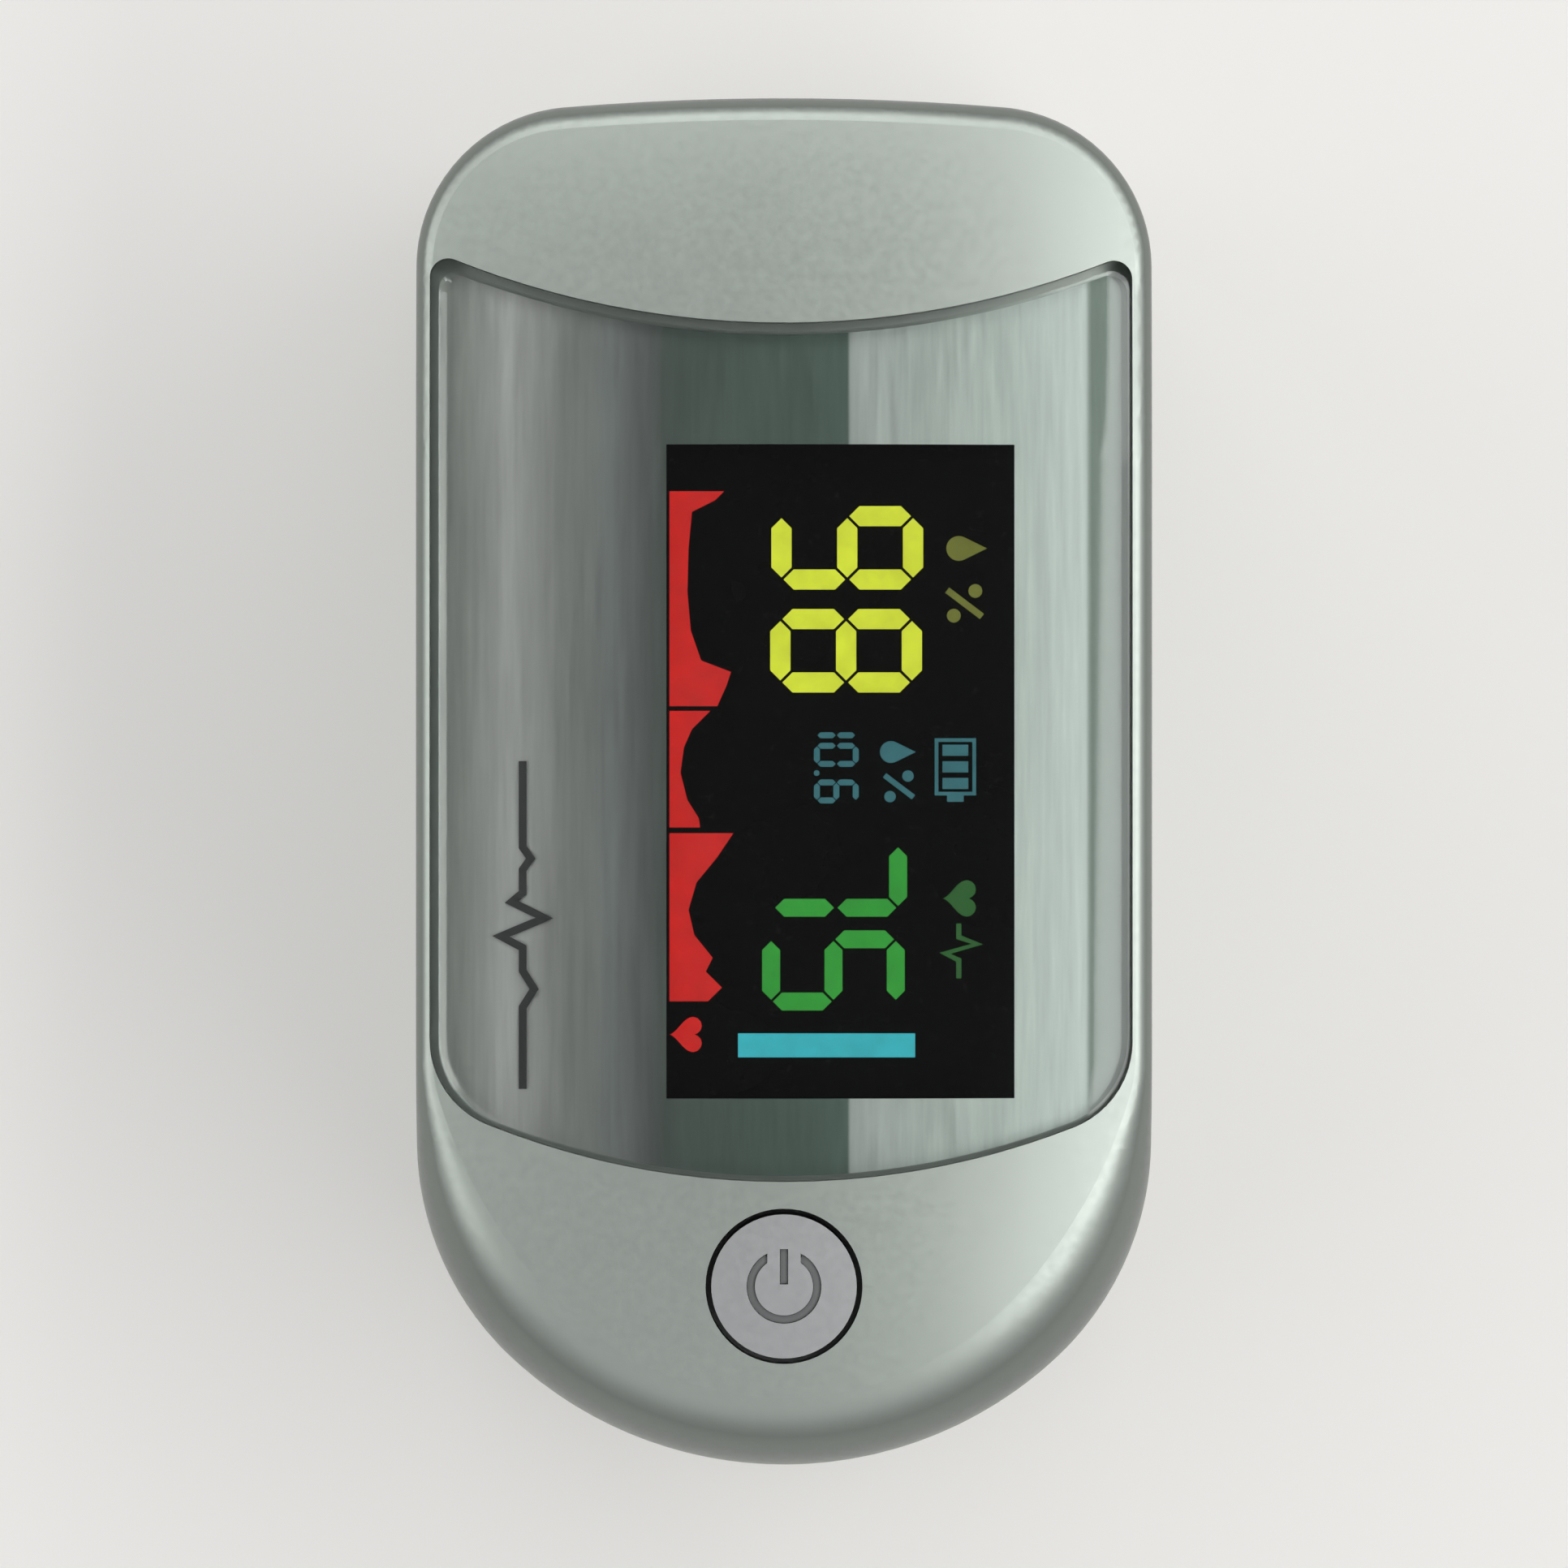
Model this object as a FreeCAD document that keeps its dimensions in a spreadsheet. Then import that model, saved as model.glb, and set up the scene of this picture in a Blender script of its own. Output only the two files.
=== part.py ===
import FreeCAD, Part
import Sketcher
import math
import os
import re

# Fingertip pulse oximeter: two sprung jaws on a cross pin, with a display, a power button and two cells.
#
# Millimetres. +Z is up, the finger goes in at the mouth (-Y) towards the rounded nose (+Y), and the origin
# is the centre of the underside. Each sub-part is an object of the document whose Label names its STEP file.

SIZES = {
    # outer form
    "body_length": 60.0,
    "body_width": 32.2,
    "body_height": 32.0,
    "mouth_corner_r": 7.0,
    "mouth_bow_r": 130.0,
    "nose_end_r": 17.6,
    "nose_side_r": 13.0,
    "crown_r": 63.0,
    "mouth_slope_r": 70.0,
    "mouth_slope_length": 16.0,
    "nose_slope_r": 48.0,
    "nose_slope_length": 18.0,
    "rim_r_mouth": 1.3,
    "rim_r_side": 1.0,
    "rim_r_turn": 2.3,
    "rim_r_nose": 4.6,
    "base_r": 3.0,
    "wall": 1.4,
    "roof": 2.3,
    "floor_thick": 2.4,
    "fit_gap": 0.15,
    "frame_inset": 1.55,
    # parting of the two jaws and their hinge
    "hinge_y": 9.0,
    "hinge_z": 18.5,
    "rim_gap": 0.3,
    "wedge_slope": 0.19,
    "pin_r": 1.0,
    "pin_length": 28.2,
    "pin_chamfer": 0.25,
    "pin_clearance": 0.05,
    "lug_r": 2.4,
    "lug_thick": 1.8,
    "lower_lug_x": 12.2,
    "upper_lug_x": 9.9,
    "bay_half_length": 3.2,
    "bay_half_width": 1.2,
    "spring_x": 6.0,
    "spring_coil_r": 2.05,
    "spring_wire_r": 0.3,
    "spring_pitch": 0.78,
    "spring_turns": 3.8,
    "spring_leg": 1.4,
    "spring_leg_deg": 36.0,
    "spring_bay_half_width": 2.4,
    # finger channel
    "channel_half_width": 9.4,
    "channel_rise": 4.6,
    "channel_drop": 3.8,
    "pad_thick": 1.5,
    "pad_front": 0.7,
    "pad_end_y": 3.2,
    "pad_gap": 0.1,
    "frame_thick": 0.9,
    "frame_plate": 1.5,
    # optics
    "optic_y": -6.0,
    "optic_hole_r": 3.0,
    "optic_lens_r": 2.85,
    "optic_lens_thick": 1.1,
    "optic_lens_sunk": 0.25,
    "optic_frame_hole_r": 2.2,
    "optic_chip_side": 2.8,
    "optic_chip_thick": 0.9,
    "detector_board_z": 11.5,
    "detector_board_width": 3.4,
    "detector_board_length": 12.0,
    "detector_board_thick": 0.6,
    # window over the display
    "window_half_width": 15.1,
    "window_mouth_r": 38.3,
    "window_mouth_y": -19.7,
    "window_nose_r": 35.2,
    "window_nose_y": 17.2,
    "window_sunk": 0.12,
    "window_under": 1.22,
    "mask_over": 1.25,
    "mask_under": 1.36,
    "recess_floor": 1.42,
    "window_mouth_corner_r": 0.8,
    "window_nose_corner_r": 4.0,
    "groove_wide": 0.38,
    "groove_narrow": 0.12,
    # display and board
    "display_x": -2.45,
    "display_y": -0.55,
    "screen_width": 15.1,
    "screen_length": 28.5,
    "display_width": 16.8,
    "display_length": 31.0,
    "display_thick": 1.6,
    "display_z": 27.4,
    "carrier_wall": 0.4,
    "carrier_height": 1.2,
    "board_z": 25.95,
    "board_thick": 1.0,
    "board_half_width": 13.9,
    "board_front_half_width": 11.0,
    "board_front_y": -25.0,
    "board_step_y": -17.4,
    "board_taper_y": 17.6,
    "board_rear_half_width": 7.4,
    "board_rear_y": 25.6,
    "chip_side": 5.0,
    "chip_thick": 0.9,
    "chip_x": 10.2,
    "chip_y": 2.6,
    "chip_pin_pitch": 0.8,
    "chip_pin_width": 0.35,
    "chip_pin_reach": 0.7,
    "passive_length": 1.6,
    "passive_width": 0.8,
    "passive_thick": 0.6,
    "passive_x": 9.2,
    "passive_y": -14.0,
    "passive_pitch": 2.3,
    # power button
    "button_y": 21.9,
    "button_hole_r": 3.42,
    "button_r": 3.17,
    "button_flange_r": 3.85,
    "button_flange_z": 27.9,
    "button_flange_thick": 0.5,
    "button_pocket_r": 4.1,
    "button_pocket_z": 28.5,
    "button_bore_r": 2.45,
    "button_roof_z": 29.9,
    "button_stem_r": 1.0,
    "button_proud": 0.1,
    "button_icon_r": 1.45,
    "button_icon_line": 0.36,
    "switch_side": 3.2,
    "switch_thick": 1.0,
    "switch_hole_r": 1.2,
    "plunger_r": 0.95,
    "plunger_z": 27.5,
    "plunger_height": 0.7,
    # cells and their contacts
    "cell_r": 5.25,
    "cell_x": 5.45,
    "cell_z": 7.2,
    "cell_front_y": -23.6,
    "cell_length": 43.5,
    "cell_edge_r": 0.5,
    "cell_nub_r": 1.9,
    "cell_nub": 1.0,
    "contact_front_y": -26.65,
    "contact_rear_y": 22.6,
    "contact_thick": 0.3,
    "contact_side": 7.4,
    "contact_bump_r": 1.6,
    "contact_bump": 1.65,
    "contact_spring_r": 3.0,
    "contact_spring_wire_r": 0.25,
    "contact_spring_turns": 3.5,
    "contact_spring_pitch": 0.6,
    "contact_spring_start": 0.3,
    "contact_wall_half_width": 10.4,
    "contact_wall_thick": 1.2,
    "contact_wall_top": 11.8,
    # battery door
    "door_half_width": 11.0,
    "door_front_y": -25.0,
    "door_thick": 1.6,
    "door_lip": 1.0,
    "door_tongue": 0.9,
    "door_tongue_z": 0.9,
    "door_tongue_end_y": 16.0,
    "door_grip_y": 11.0,
    "door_grip_pitch": 1.7,
    "door_grip_width": 0.8,
    "door_grip_length": 9.0,
    "door_grip_deep": 0.45,
    "cell_opening_half_width": 10.85,
    # screws and their bosses
    "screw_r": 0.8,
    "screw_length": 5.0,
    "screw_head_r": 1.45,
    "screw_head": 0.7,
    "screw_slot": 0.35,
    "screw_clearance": 0.05,
    "boss_r": 1.7,
    "front_screw_x": 13.1,
    "front_screw_y": -19.5,
    "rear_screw_x": 8.6,
    "rear_screw_y": 17.4,
    "lower_rear_screw_x": 11.0,
    "lower_rear_screw_y": 21.9,
    # lanyard holes
    "lanyard_z": 9.0,
    "lanyard_x": 2.1,
    "lanyard_r": 0.8,
    # ribbon cable
    "ribbon_width": 4.2,
    "ribbon_thick": 0.3,
    "ribbon_y": 14.6,
    "ribbon_slot": 1.6,
}
DOOR_GRIPS = 6
PASSIVES = 5
CHIP_PINS = 5
MARGIN = 2.0  # how far cutting tools run past what they cut

doc = FreeCAD.newDocument("pulse_oximeter")
sheet = doc.addObject("Spreadsheet::Sheet", "Sizes")
for row, (alias, size) in enumerate(SIZES.items(), start=1):
    sheet.set(f"A{row}", alias)
    sheet.set(f"B{row}", str(size))
    sheet.setAlias(f"B{row}", alias)
doc.recompute()

WORD = re.compile(r"[a-z][a-z_]+")
nodes = []


def val(alias):
    """The number in the sheet's cell of that name."""
    return float(sheet.get(alias))


def number(expression):
    """What an expression over the sheet's aliases comes to."""
    sheet.set("D1", "=" + str(expression))
    sheet.recompute()
    return float(sheet.get("D1"))


def vec(x=0.0, y=0.0, z=0.0):
    return FreeCAD.Vector(x, y, z)


def text_of(expression):
    """An expression over the sheet's aliases, in the form that FreeCAD's expressions take."""
    return WORD.sub(lambda m: "Sizes." + m.group() if m.group() in SIZES else m.group(), str(expression))


def bind(thing, prop, expression):
    thing.setExpression(prop, text_of(expression))


def node(thing, label):
    """Marks an object as a sub-part, which is written to parts/label.step."""
    thing.Label = label
    nodes.append(thing)
    return thing


def place(thing, x, y, z):
    for axis, expression in zip("xyz", (x, y, z)):
        bind(thing, f".Placement.Base.{axis}", expression)
    return thing


def box(name, x, y, z):
    """A box from (low, high) pairs of expressions along each axis."""
    made = doc.addObject("Part::Box", name)
    for prop, (low, high) in zip(("Length", "Width", "Height"), (x, y, z)):
        bind(made, prop, f"({high}) - ({low})")
    return place(made, x[0], y[0], z[0])


TURNS = {"X": FreeCAD.Rotation(vec(0, 1, 0), 90), "Y": FreeCAD.Rotation(vec(1, 0, 0), -90)}


def cylinder(name, radius, length, x, y, z, along="Z"):
    made = doc.addObject("Part::Cylinder", name)
    bind(made, "Radius", radius)
    bind(made, "Height", length)
    if along in TURNS:
        made.Placement = FreeCAD.Placement(vec(), TURNS[along])
    return place(made, x, y, z)


def fuse(name, *things):
    made = doc.addObject("Part::MultiFuse", name)
    made.Shapes = list(things)
    return made


def cut(name, base, *tools):
    made = doc.addObject("Part::Cut", name)
    made.Base = base
    made.Tool = tools[0] if len(tools) == 1 else fuse(name + "_tools", *tools)
    return made


def common(name, *things):
    made = doc.addObject("Part::MultiCommon", name)
    made.Shapes = list(things)
    return made


def mirrored(name, thing):
    """The same thing on the other side of the length's middle plane."""
    made = doc.addObject("Part::Mirroring", name)
    made.Source = thing
    made.Normal = vec(1, 0, 0)
    return made


def both_sides(name, thing):
    return fuse(name, thing, mirrored(name + "_other", thing))


def group(name, *things):
    """Separate solids that share one node."""
    made = doc.addObject("Part::Compound", name)
    made.Links = list(things)
    return made


# ---- sketches ------------------------------------------------------------------------------------------

POINT_START = 1
POINT_END = 2
POINT_CENTRE = 3
ORIGIN = (-1, 1)
V_AXIS = -2


def new_body(name):
    return doc.addObject("PartDesign::Body", name)


def new_sketch(body, name, role, lift="0"):
    """A sketch on one of its body's own planes, lifted off it along the plane's normal."""
    sketch = body.newObject("Sketcher::SketchObject", name)
    plane = [f for f in body.Origin.OriginFeatures if f.Role == role][0]
    sketch.AttachmentSupport = [(plane, "")]
    sketch.MapMode = "FlatFace"
    bind(sketch, ".AttachmentOffset.Base.z", lift)
    return sketch


def arc(sketch, x, y, radius, start, end):
    circle = Part.Circle(vec(x, y), vec(0, 0, 1), radius)
    return sketch.addGeometry(Part.ArcOfCircle(circle, start, end))


def line(sketch, start, end):
    return sketch.addGeometry(Part.LineSegment(vec(*start), vec(*end)))


def constrain(sketch, kind, *args):
    return sketch.addConstraint(Sketcher.Constraint(kind, *args))


def sized(sketch, kind, expression, *args):
    """A constraint whose size follows the sheet. It starts from the geometry as drawn."""
    index = constrain(sketch, kind, *args)
    bind(sketch, f"Constraints[{index}]", expression)


def joined(sketch, kind, chain):
    """Joins each curve's end to the next one's start, all the way round."""
    for first, second in zip(chain, chain[1:] + chain[:1]):
        constrain(sketch, kind, first, POINT_END, second, POINT_START)


def plan_outline(body, name, inset_name="", lift="0"):
    """The object's outline from above: a bowed mouth, rounded corners, straight sides and a round nose."""
    inset = val(inset_name) if inset_name else 0.0
    less = f" - {inset_name}" if inset_name else ""
    sketch = new_sketch(body, name, "XY_Plane", lift)
    half = val("body_width") / 2 - inset
    front = inset - val("body_length") / 2
    bow = val("mouth_bow_r") - inset
    corner = val("mouth_corner_r") - inset
    side = val("nose_side_r") - inset
    end = val("nose_end_r") - inset
    end_y = val("body_length") / 2 - val("nose_end_r")
    bow_angle = math.asin((half - corner) / (bow - corner))
    corner_y = front + bow - (bow - corner) * math.cos(bow_angle)
    side_angle = math.acos((half - side) / (end - side))
    side_y = end_y + (end - side) * math.sin(side_angle)
    quarter = math.pi / 2
    mouth = arc(sketch, 0, front + bow, bow, -quarter - bow_angle, -quarter + bow_angle)
    right_corner = arc(sketch, half - corner, corner_y, corner, -quarter + bow_angle, 0)
    right = line(sketch, (half, corner_y), (half, side_y))
    right_nose = arc(sketch, half - side, side_y, side, 0, side_angle)
    nose = arc(sketch, 0, end_y, end, side_angle, math.pi - side_angle)
    left_nose = arc(sketch, side - half, side_y, side, math.pi - side_angle, math.pi)
    left = line(sketch, (-half, side_y), (-half, corner_y))
    left_corner = arc(sketch, corner - half, corner_y, corner, math.pi, 3 * quarter - bow_angle)
    chain = [mouth, right_corner, right, right_nose, nose, left_nose, left, left_corner]
    joined(sketch, "Tangent", chain)
    constrain(sketch, "Vertical", right)
    constrain(sketch, "Vertical", left)
    constrain(sketch, "Equal", right_corner, left_corner)
    constrain(sketch, "Equal", right_nose, left_nose)
    constrain(sketch, "PointOnObject", mouth, POINT_CENTRE, V_AXIS)
    constrain(sketch, "PointOnObject", nose, POINT_CENTRE, V_AXIS)
    sized(sketch, "Radius", "mouth_bow_r" + less, mouth, bow)
    sized(sketch, "Radius", "mouth_corner_r" + less, right_corner, corner)
    sized(sketch, "Radius", "nose_side_r" + less, right_nose, side)
    sized(sketch, "Radius", "nose_end_r" + less, nose, end)
    sized(sketch, "DistanceX", "body_width / 2" + less, *ORIGIN, right, POINT_START, half)
    sized(sketch, "DistanceX", "body_width / 2" + less, left, POINT_START, *ORIGIN, half)
    sized(sketch, "DistanceY", "mouth_bow_r - body_length / 2", *ORIGIN, mouth, POINT_CENTRE, front + bow)
    sized(sketch, "DistanceY", "body_length / 2 - nose_end_r", *ORIGIN, nose, POINT_CENTRE, end_y)
    return sketch


def window_outline(body, name, mouth="0", nose="0", text_side="0", screen_side="0", lift="0"):
    """The window's outline: an arc at each end and straight sides. Each edge may be moved out."""
    sketch = new_sketch(body, name, "XY_Plane", lift)
    right = number(f"window_half_width + ({text_side})")
    left = -number(f"window_half_width + ({screen_side})")
    mouth_r = number(f"window_mouth_r - ({mouth})")
    mouth_y = val("window_mouth_y") - val("window_mouth_r")
    nose_r = number(f"window_nose_r + ({nose})")
    nose_y = val("window_nose_y") - val("window_nose_r")

    def on_arc(x, radius, centre):
        return x, centre + math.sqrt(radius**2 - x**2)

    def angle(x, radius):
        return math.acos(x / radius)

    right_line = line(sketch, on_arc(right, mouth_r, mouth_y), on_arc(right, nose_r, nose_y))
    nose_arc = arc(sketch, 0, nose_y, nose_r, angle(right, nose_r), angle(left, nose_r))
    left_line = line(sketch, on_arc(left, nose_r, nose_y), on_arc(left, mouth_r, mouth_y))
    mouth_arc = arc(sketch, 0, mouth_y, mouth_r, angle(right, mouth_r), angle(left, mouth_r))
    constrain(sketch, "Coincident", right_line, POINT_END, nose_arc, POINT_START)
    constrain(sketch, "Coincident", nose_arc, POINT_END, left_line, POINT_START)
    constrain(sketch, "Coincident", left_line, POINT_END, mouth_arc, POINT_END)
    constrain(sketch, "Coincident", mouth_arc, POINT_START, right_line, POINT_START)
    constrain(sketch, "Vertical", right_line)
    constrain(sketch, "Vertical", left_line)
    constrain(sketch, "PointOnObject", mouth_arc, POINT_CENTRE, V_AXIS)
    constrain(sketch, "PointOnObject", nose_arc, POINT_CENTRE, V_AXIS)
    sized(sketch, "Radius", f"window_mouth_r - ({mouth})", mouth_arc, mouth_r)
    sized(sketch, "Radius", f"window_nose_r + ({nose})", nose_arc, nose_r)
    sized(sketch, "DistanceX", f"window_half_width + ({text_side})", *ORIGIN, right_line, POINT_START, right)
    sized(sketch, "DistanceX", f"window_half_width + ({screen_side})", left_line, POINT_START, *ORIGIN, -left)
    sized(sketch, "DistanceY", "window_mouth_r - window_mouth_y", mouth_arc, POINT_CENTRE, *ORIGIN, -mouth_y)
    sized(sketch, "DistanceY", "window_nose_r - window_nose_y", nose_arc, POINT_CENTRE, *ORIGIN, -nose_y)
    return sketch


def polygon(body, name, role, points, lift="0"):
    """A closed outline of straight lines through points given as pairs of expressions."""
    sketch = new_sketch(body, name, role, lift)
    spots = [(number(x), number(y)) for x, y in points]
    lines = [line(sketch, start, end) for start, end in zip(spots, spots[1:] + spots[:1])]
    joined(sketch, "Coincident", lines)
    for index, texts, spot in zip(lines, points, spots):
        for kind, text, size in zip(("DistanceX", "DistanceY"), texts, spot):
            if size < 0:
                sized(sketch, kind, f"-({text})", index, POINT_START, *ORIGIN, -size)
            else:
                sized(sketch, kind, text, *ORIGIN, index, POINT_START, size)
    return sketch


def ellipse(body, name, half_width, half_height):
    """An ellipse round the hinge line's height, seen from the mouth."""
    sketch = new_sketch(body, name, "XZ_Plane")
    wide, high = 20.0, 10.0
    index = sketch.addGeometry(Part.Ellipse(vec(wide, 0), vec(0, high), vec()))
    sketch.exposeInternalGeometry(index)
    major, minor = index + 1, index + 2
    constrain(sketch, "Horizontal", major)
    constrain(sketch, "PointOnObject", index, POINT_CENTRE, V_AXIS)
    sized(sketch, "DistanceY", "hinge_z", *ORIGIN, index, POINT_CENTRE, 1.0)
    sized(sketch, "Distance", f"2 * ({half_width})", major, 2 * wide)
    sized(sketch, "Distance", f"2 * ({half_height})", minor, 2 * high)
    return sketch


def pad(body, sketch, length, midplane=False, backwards=False):
    made = body.newObject("PartDesign::Pad", sketch.Name + "_pad")
    made.Profile = sketch
    made.Midplane = midplane
    made.Reversed = backwards
    bind(made, "Length", length)
    return made


def crown_paths(body, sunk):
    """The roof's two lengthwise paths from the middle: flat, then sloping down to the mouth or the nose."""
    reach = val("body_length") / 2 + MARGIN
    height = number(f"body_height - ({sunk})")
    quarter = math.pi / 2
    paths = []
    for end, way in (("mouth", -1), ("nose", 1)):
        radius = val(end + "_slope_r")
        flat_y = number(f"body_length / 2 - {end}_slope_length")
        turn = math.asin((reach - flat_y) / radius)
        path = new_sketch(body, f"{body.Name}_{end}_path", "YZ_Plane")
        flat = line(path, (0, height), (way * flat_y, height))
        if way > 0:
            slope = arc(path, flat_y, height - radius, radius, quarter - turn, quarter)
            near, far = POINT_END, POINT_START
        else:
            slope = arc(path, -flat_y, height - radius, radius, quarter, quarter + turn)
            near, far = POINT_START, POINT_END
        constrain(path, "Tangent", flat, POINT_END, slope, near)
        constrain(path, "PointOnObject", flat, POINT_START, V_AXIS)
        constrain(path, "Horizontal", flat)
        sized(path, "Radius", f"{end}_slope_r", slope, radius)
        sized(path, "DistanceY", f"body_height - ({sunk})", *ORIGIN, flat, POINT_START, height)
        sized(path, "Distance", f"body_length / 2 - {end}_slope_length", flat, flat_y)
        ends = [*ORIGIN, slope, far] if way > 0 else [slope, far, *ORIGIN]
        sized(path, "DistanceX", f"body_length / 2 + {MARGIN}", *ends, reach)
        paths.append(path)
    return paths


def cut_crown(body, sunk="0"):
    """Cuts a body down to the roof's surface, which is crowned across, less the distance sunk below it."""
    height = number(f"body_height - ({sunk})")
    radius = val("crown_r")
    half = val("body_width") / 2 + MARGIN
    turn = math.asin(half / radius)
    quarter = math.pi / 2
    edge = height - radius + radius * math.cos(turn)
    far = height + val("nose_end_r")
    profile = new_sketch(body, body.Name + "_crown", "XZ_Plane")
    crest = arc(profile, 0, height - radius, radius, quarter - turn, quarter + turn)
    left = line(profile, (-half, edge), (-half, far))
    top = line(profile, (-half, far), (half, far))
    right = line(profile, (half, far), (half, edge))
    joined(profile, "Coincident", [crest, left, top, right])
    constrain(profile, "Vertical", left)
    constrain(profile, "Horizontal", top)
    constrain(profile, "Vertical", right)
    constrain(profile, "PointOnObject", crest, POINT_CENTRE, V_AXIS)
    sized(profile, "Radius", "crown_r", crest, radius)
    sized(profile, "DistanceX", f"body_width / 2 + {MARGIN}", *ORIGIN, right, POINT_START, half)
    sized(profile, "DistanceY", f"crown_r - body_height + ({sunk})", crest, POINT_CENTRE, *ORIGIN,
          radius - height)
    sized(profile, "DistanceY", f"body_height - ({sunk}) + nose_end_r", *ORIGIN, top, POINT_START, far)
    for path in crown_paths(body, sunk):
        pipe = body.newObject("PartDesign::SubtractivePipe", path.Name + "_cut")
        pipe.Profile = profile
        pipe.Spine = path
    return body


def crown_block(name, sunk):
    """Everything below the roof's surface, or below one that lies a little under it."""
    body = new_body(name)
    half = f"(body_width / 2 + {MARGIN / 2})"
    reach = f"(body_length / 2 + {MARGIN / 2})"
    corners = [(f"-{half}", f"-{reach}"), (half, f"-{reach}"), (half, reach), (f"-{half}", reach)]
    pad(body, polygon(body, name + "_base", "XY_Plane", corners), f"body_height + {MARGIN}")
    return cut_crown(body, sunk)


def prism(name, outline, height, **options):
    """An outline seen from above, made solid up to a height."""
    body = new_body(name)
    pad(body, outline(body, name + "_outline", **options), height)
    return body


def wedge(name, side, out, thick=""):
    """A slab along the parting: all of one jaw's side of it, or only a layer of the given thickness."""
    sign = "+" if side == "upper" else "-"
    reach = f"(body_length / 2 + {MARGIN})"
    slope = f"wedge_slope * ({reach} - hinge_y)"
    near = f"hinge_z {sign} ({out})"
    points = [(f"-{reach}", near), ("hinge_y", near), (reach, f"{near} {sign} {slope}")]
    if thick:
        away = f"{near} {sign} ({thick})"
        points += [(reach, f"{away} {sign} {slope}"), ("hinge_y", away), (f"-{reach}", away)]
    else:
        far = f"body_height + {MARGIN}" if side == "upper" else f"-{MARGIN}"
        points += [(reach, far), (f"-{reach}", far)]
    body = new_body(name)
    pad(body, polygon(body, name + "_side", "YZ_Plane", points), f"body_width + {MARGIN}", midplane=True)
    return body


def tunnel(name, half_width, half_height, front, back):
    """An elliptical bar along the finger channel, from one Y to another."""
    body = new_body(name)
    sketch = ellipse(body, name + "_section", half_width, half_height)
    bind(sketch, ".AttachmentOffset.Base.z", f"-({back})")
    pad(body, sketch, f"({back}) - ({front})")
    return body


def edges_where(shape, test):
    """The numbers of the shape's edges that pass a test of the edge."""
    return [index for index, edge in enumerate(shape.Edges, start=1) if test(edge)]


def rounded(name, base, sizes):
    """A base with its edges rounded, each given as (edge number, start radius, end radius)."""
    made = doc.addObject("Part::Fillet", name)
    made.Base = base
    made.Edges = sizes
    return made


# ---- the outer form and the forms inside it ------------------------------------------------------------


def rim_radius(point):
    """The top rim's radius, which grows from the straight sides to the tip of the nose."""
    slope_y = val("body_length") / 2 - val("nose_slope_length")
    if point.y < val("mouth_corner_r") - val("body_length") / 2:
        return val("rim_r_mouth")
    if point.y < slope_y + 0.1:
        return val("rim_r_side")
    if abs(point.x) > val("nose_end_r") - val("nose_side_r") + val("body_width") / 4 + 3:
        return val("rim_r_turn")
    return val("rim_r_nose")


def in_turn(edge):
    """An edge's two ends, counterclockwise as seen from above."""
    start, end = (edge.valueAt(t) for t in edge.ParameterRange)
    return (start, end) if start.x * end.y > start.y * end.x else (end, start)


def outer_form():
    """The closed pebble shape of both jaws together."""
    body = prism("outer", plan_outline, f"body_height + {MARGIN}")
    cut_crown(body)
    doc.recompute()
    on_top = edges_where(body.Shape, lambda e: is_rim(e))
    sizes = []
    for index in on_top:
        start, end = in_turn(body.Shape.Edges[index - 1])
        sizes.append((index, rim_radius(start), rim_radius(end)))
    topped = rounded("outer_top", body, sizes)
    doc.recompute()
    at_base = edges_where(topped.Shape, lambda e: e.BoundBox.ZMax < 0.01)
    return rounded("outer_form", topped, [(index, val("base_r"), val("base_r")) for index in at_base])


def is_rim(edge):
    """Whether an edge is part of the outline of the roof, and not a line across it."""
    box_of = edge.BoundBox
    across = box_of.XMin < -1 and box_of.XMax > 1 and box_of.YLength < 0.5
    mouth = box_of.YMax < -val("body_length") / 2 + 3
    return box_of.ZMin > val("body_height") / 2 and (mouth or not across)


outer = outer_form()
inner = prism("inner", plan_outline, "body_height", inset_name="wall")
frame_plan = prism("frame_plan", plan_outline, "body_height", inset_name="frame_inset")
cavity_top = crown_block("cavity_top", "roof")
window_top = crown_block("window_top", "window_sunk")
window_bottom = crown_block("window_bottom", "window_under")
mask_top = crown_block("mask_top", "mask_over")
mask_bottom = crown_block("mask_bottom", "mask_under")
recess_bottom = crown_block("recess_bottom", "recess_floor")
button_top = crown_block("button_top", "-button_proud")


# ---- shared pieces of the jaws -------------------------------------------------------------------------

REACH = f"(body_length / 2 + {MARGIN})"
ACROSS = (f"-body_width / 2 - {MARGIN}", f"body_width / 2 + {MARGIN}")
RISE = {"upper": "channel_rise", "lower": "channel_drop"}
SIGN = {"upper": "+", "lower": "-"}


def slope_at(y):
    """How far the parting has opened, each way, at a Y behind the hinge."""
    return f"wedge_slope * (({y}) - hinge_y)"


def half_space(name, side, out="rim_gap"):
    """A box on one side of the parting's flat stretch, without the wedge behind the hinge."""
    z = {"upper": (f"hinge_z + {out}", "body_height"), "lower": ("0", f"hinge_z - {out}")}[side]
    return box(name, ACROSS, (f"-{REACH}", REACH), z)


def lug(name, side, x):
    """A hinge ear on a jaw's frame, round about the pin, with its root in the frame's plate."""
    left = f"{x} - lug_thick / 2"
    eye = cylinder(name + "_eye", "lug_r", "lug_thick", left, "hinge_y", "hinge_z", along="X")
    root_z = {"upper": ("hinge_z", "hinge_z + rim_gap + frame_plate / 2"),
              "lower": ("hinge_z - rim_gap - frame_plate / 2", "hinge_z")}[side]
    root = box(name + "_root", (left, f"{x} + lug_thick / 2"), ("hinge_y - lug_r", "hinge_y + lug_r"), root_z)
    return fuse(name, eye, root)


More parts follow.
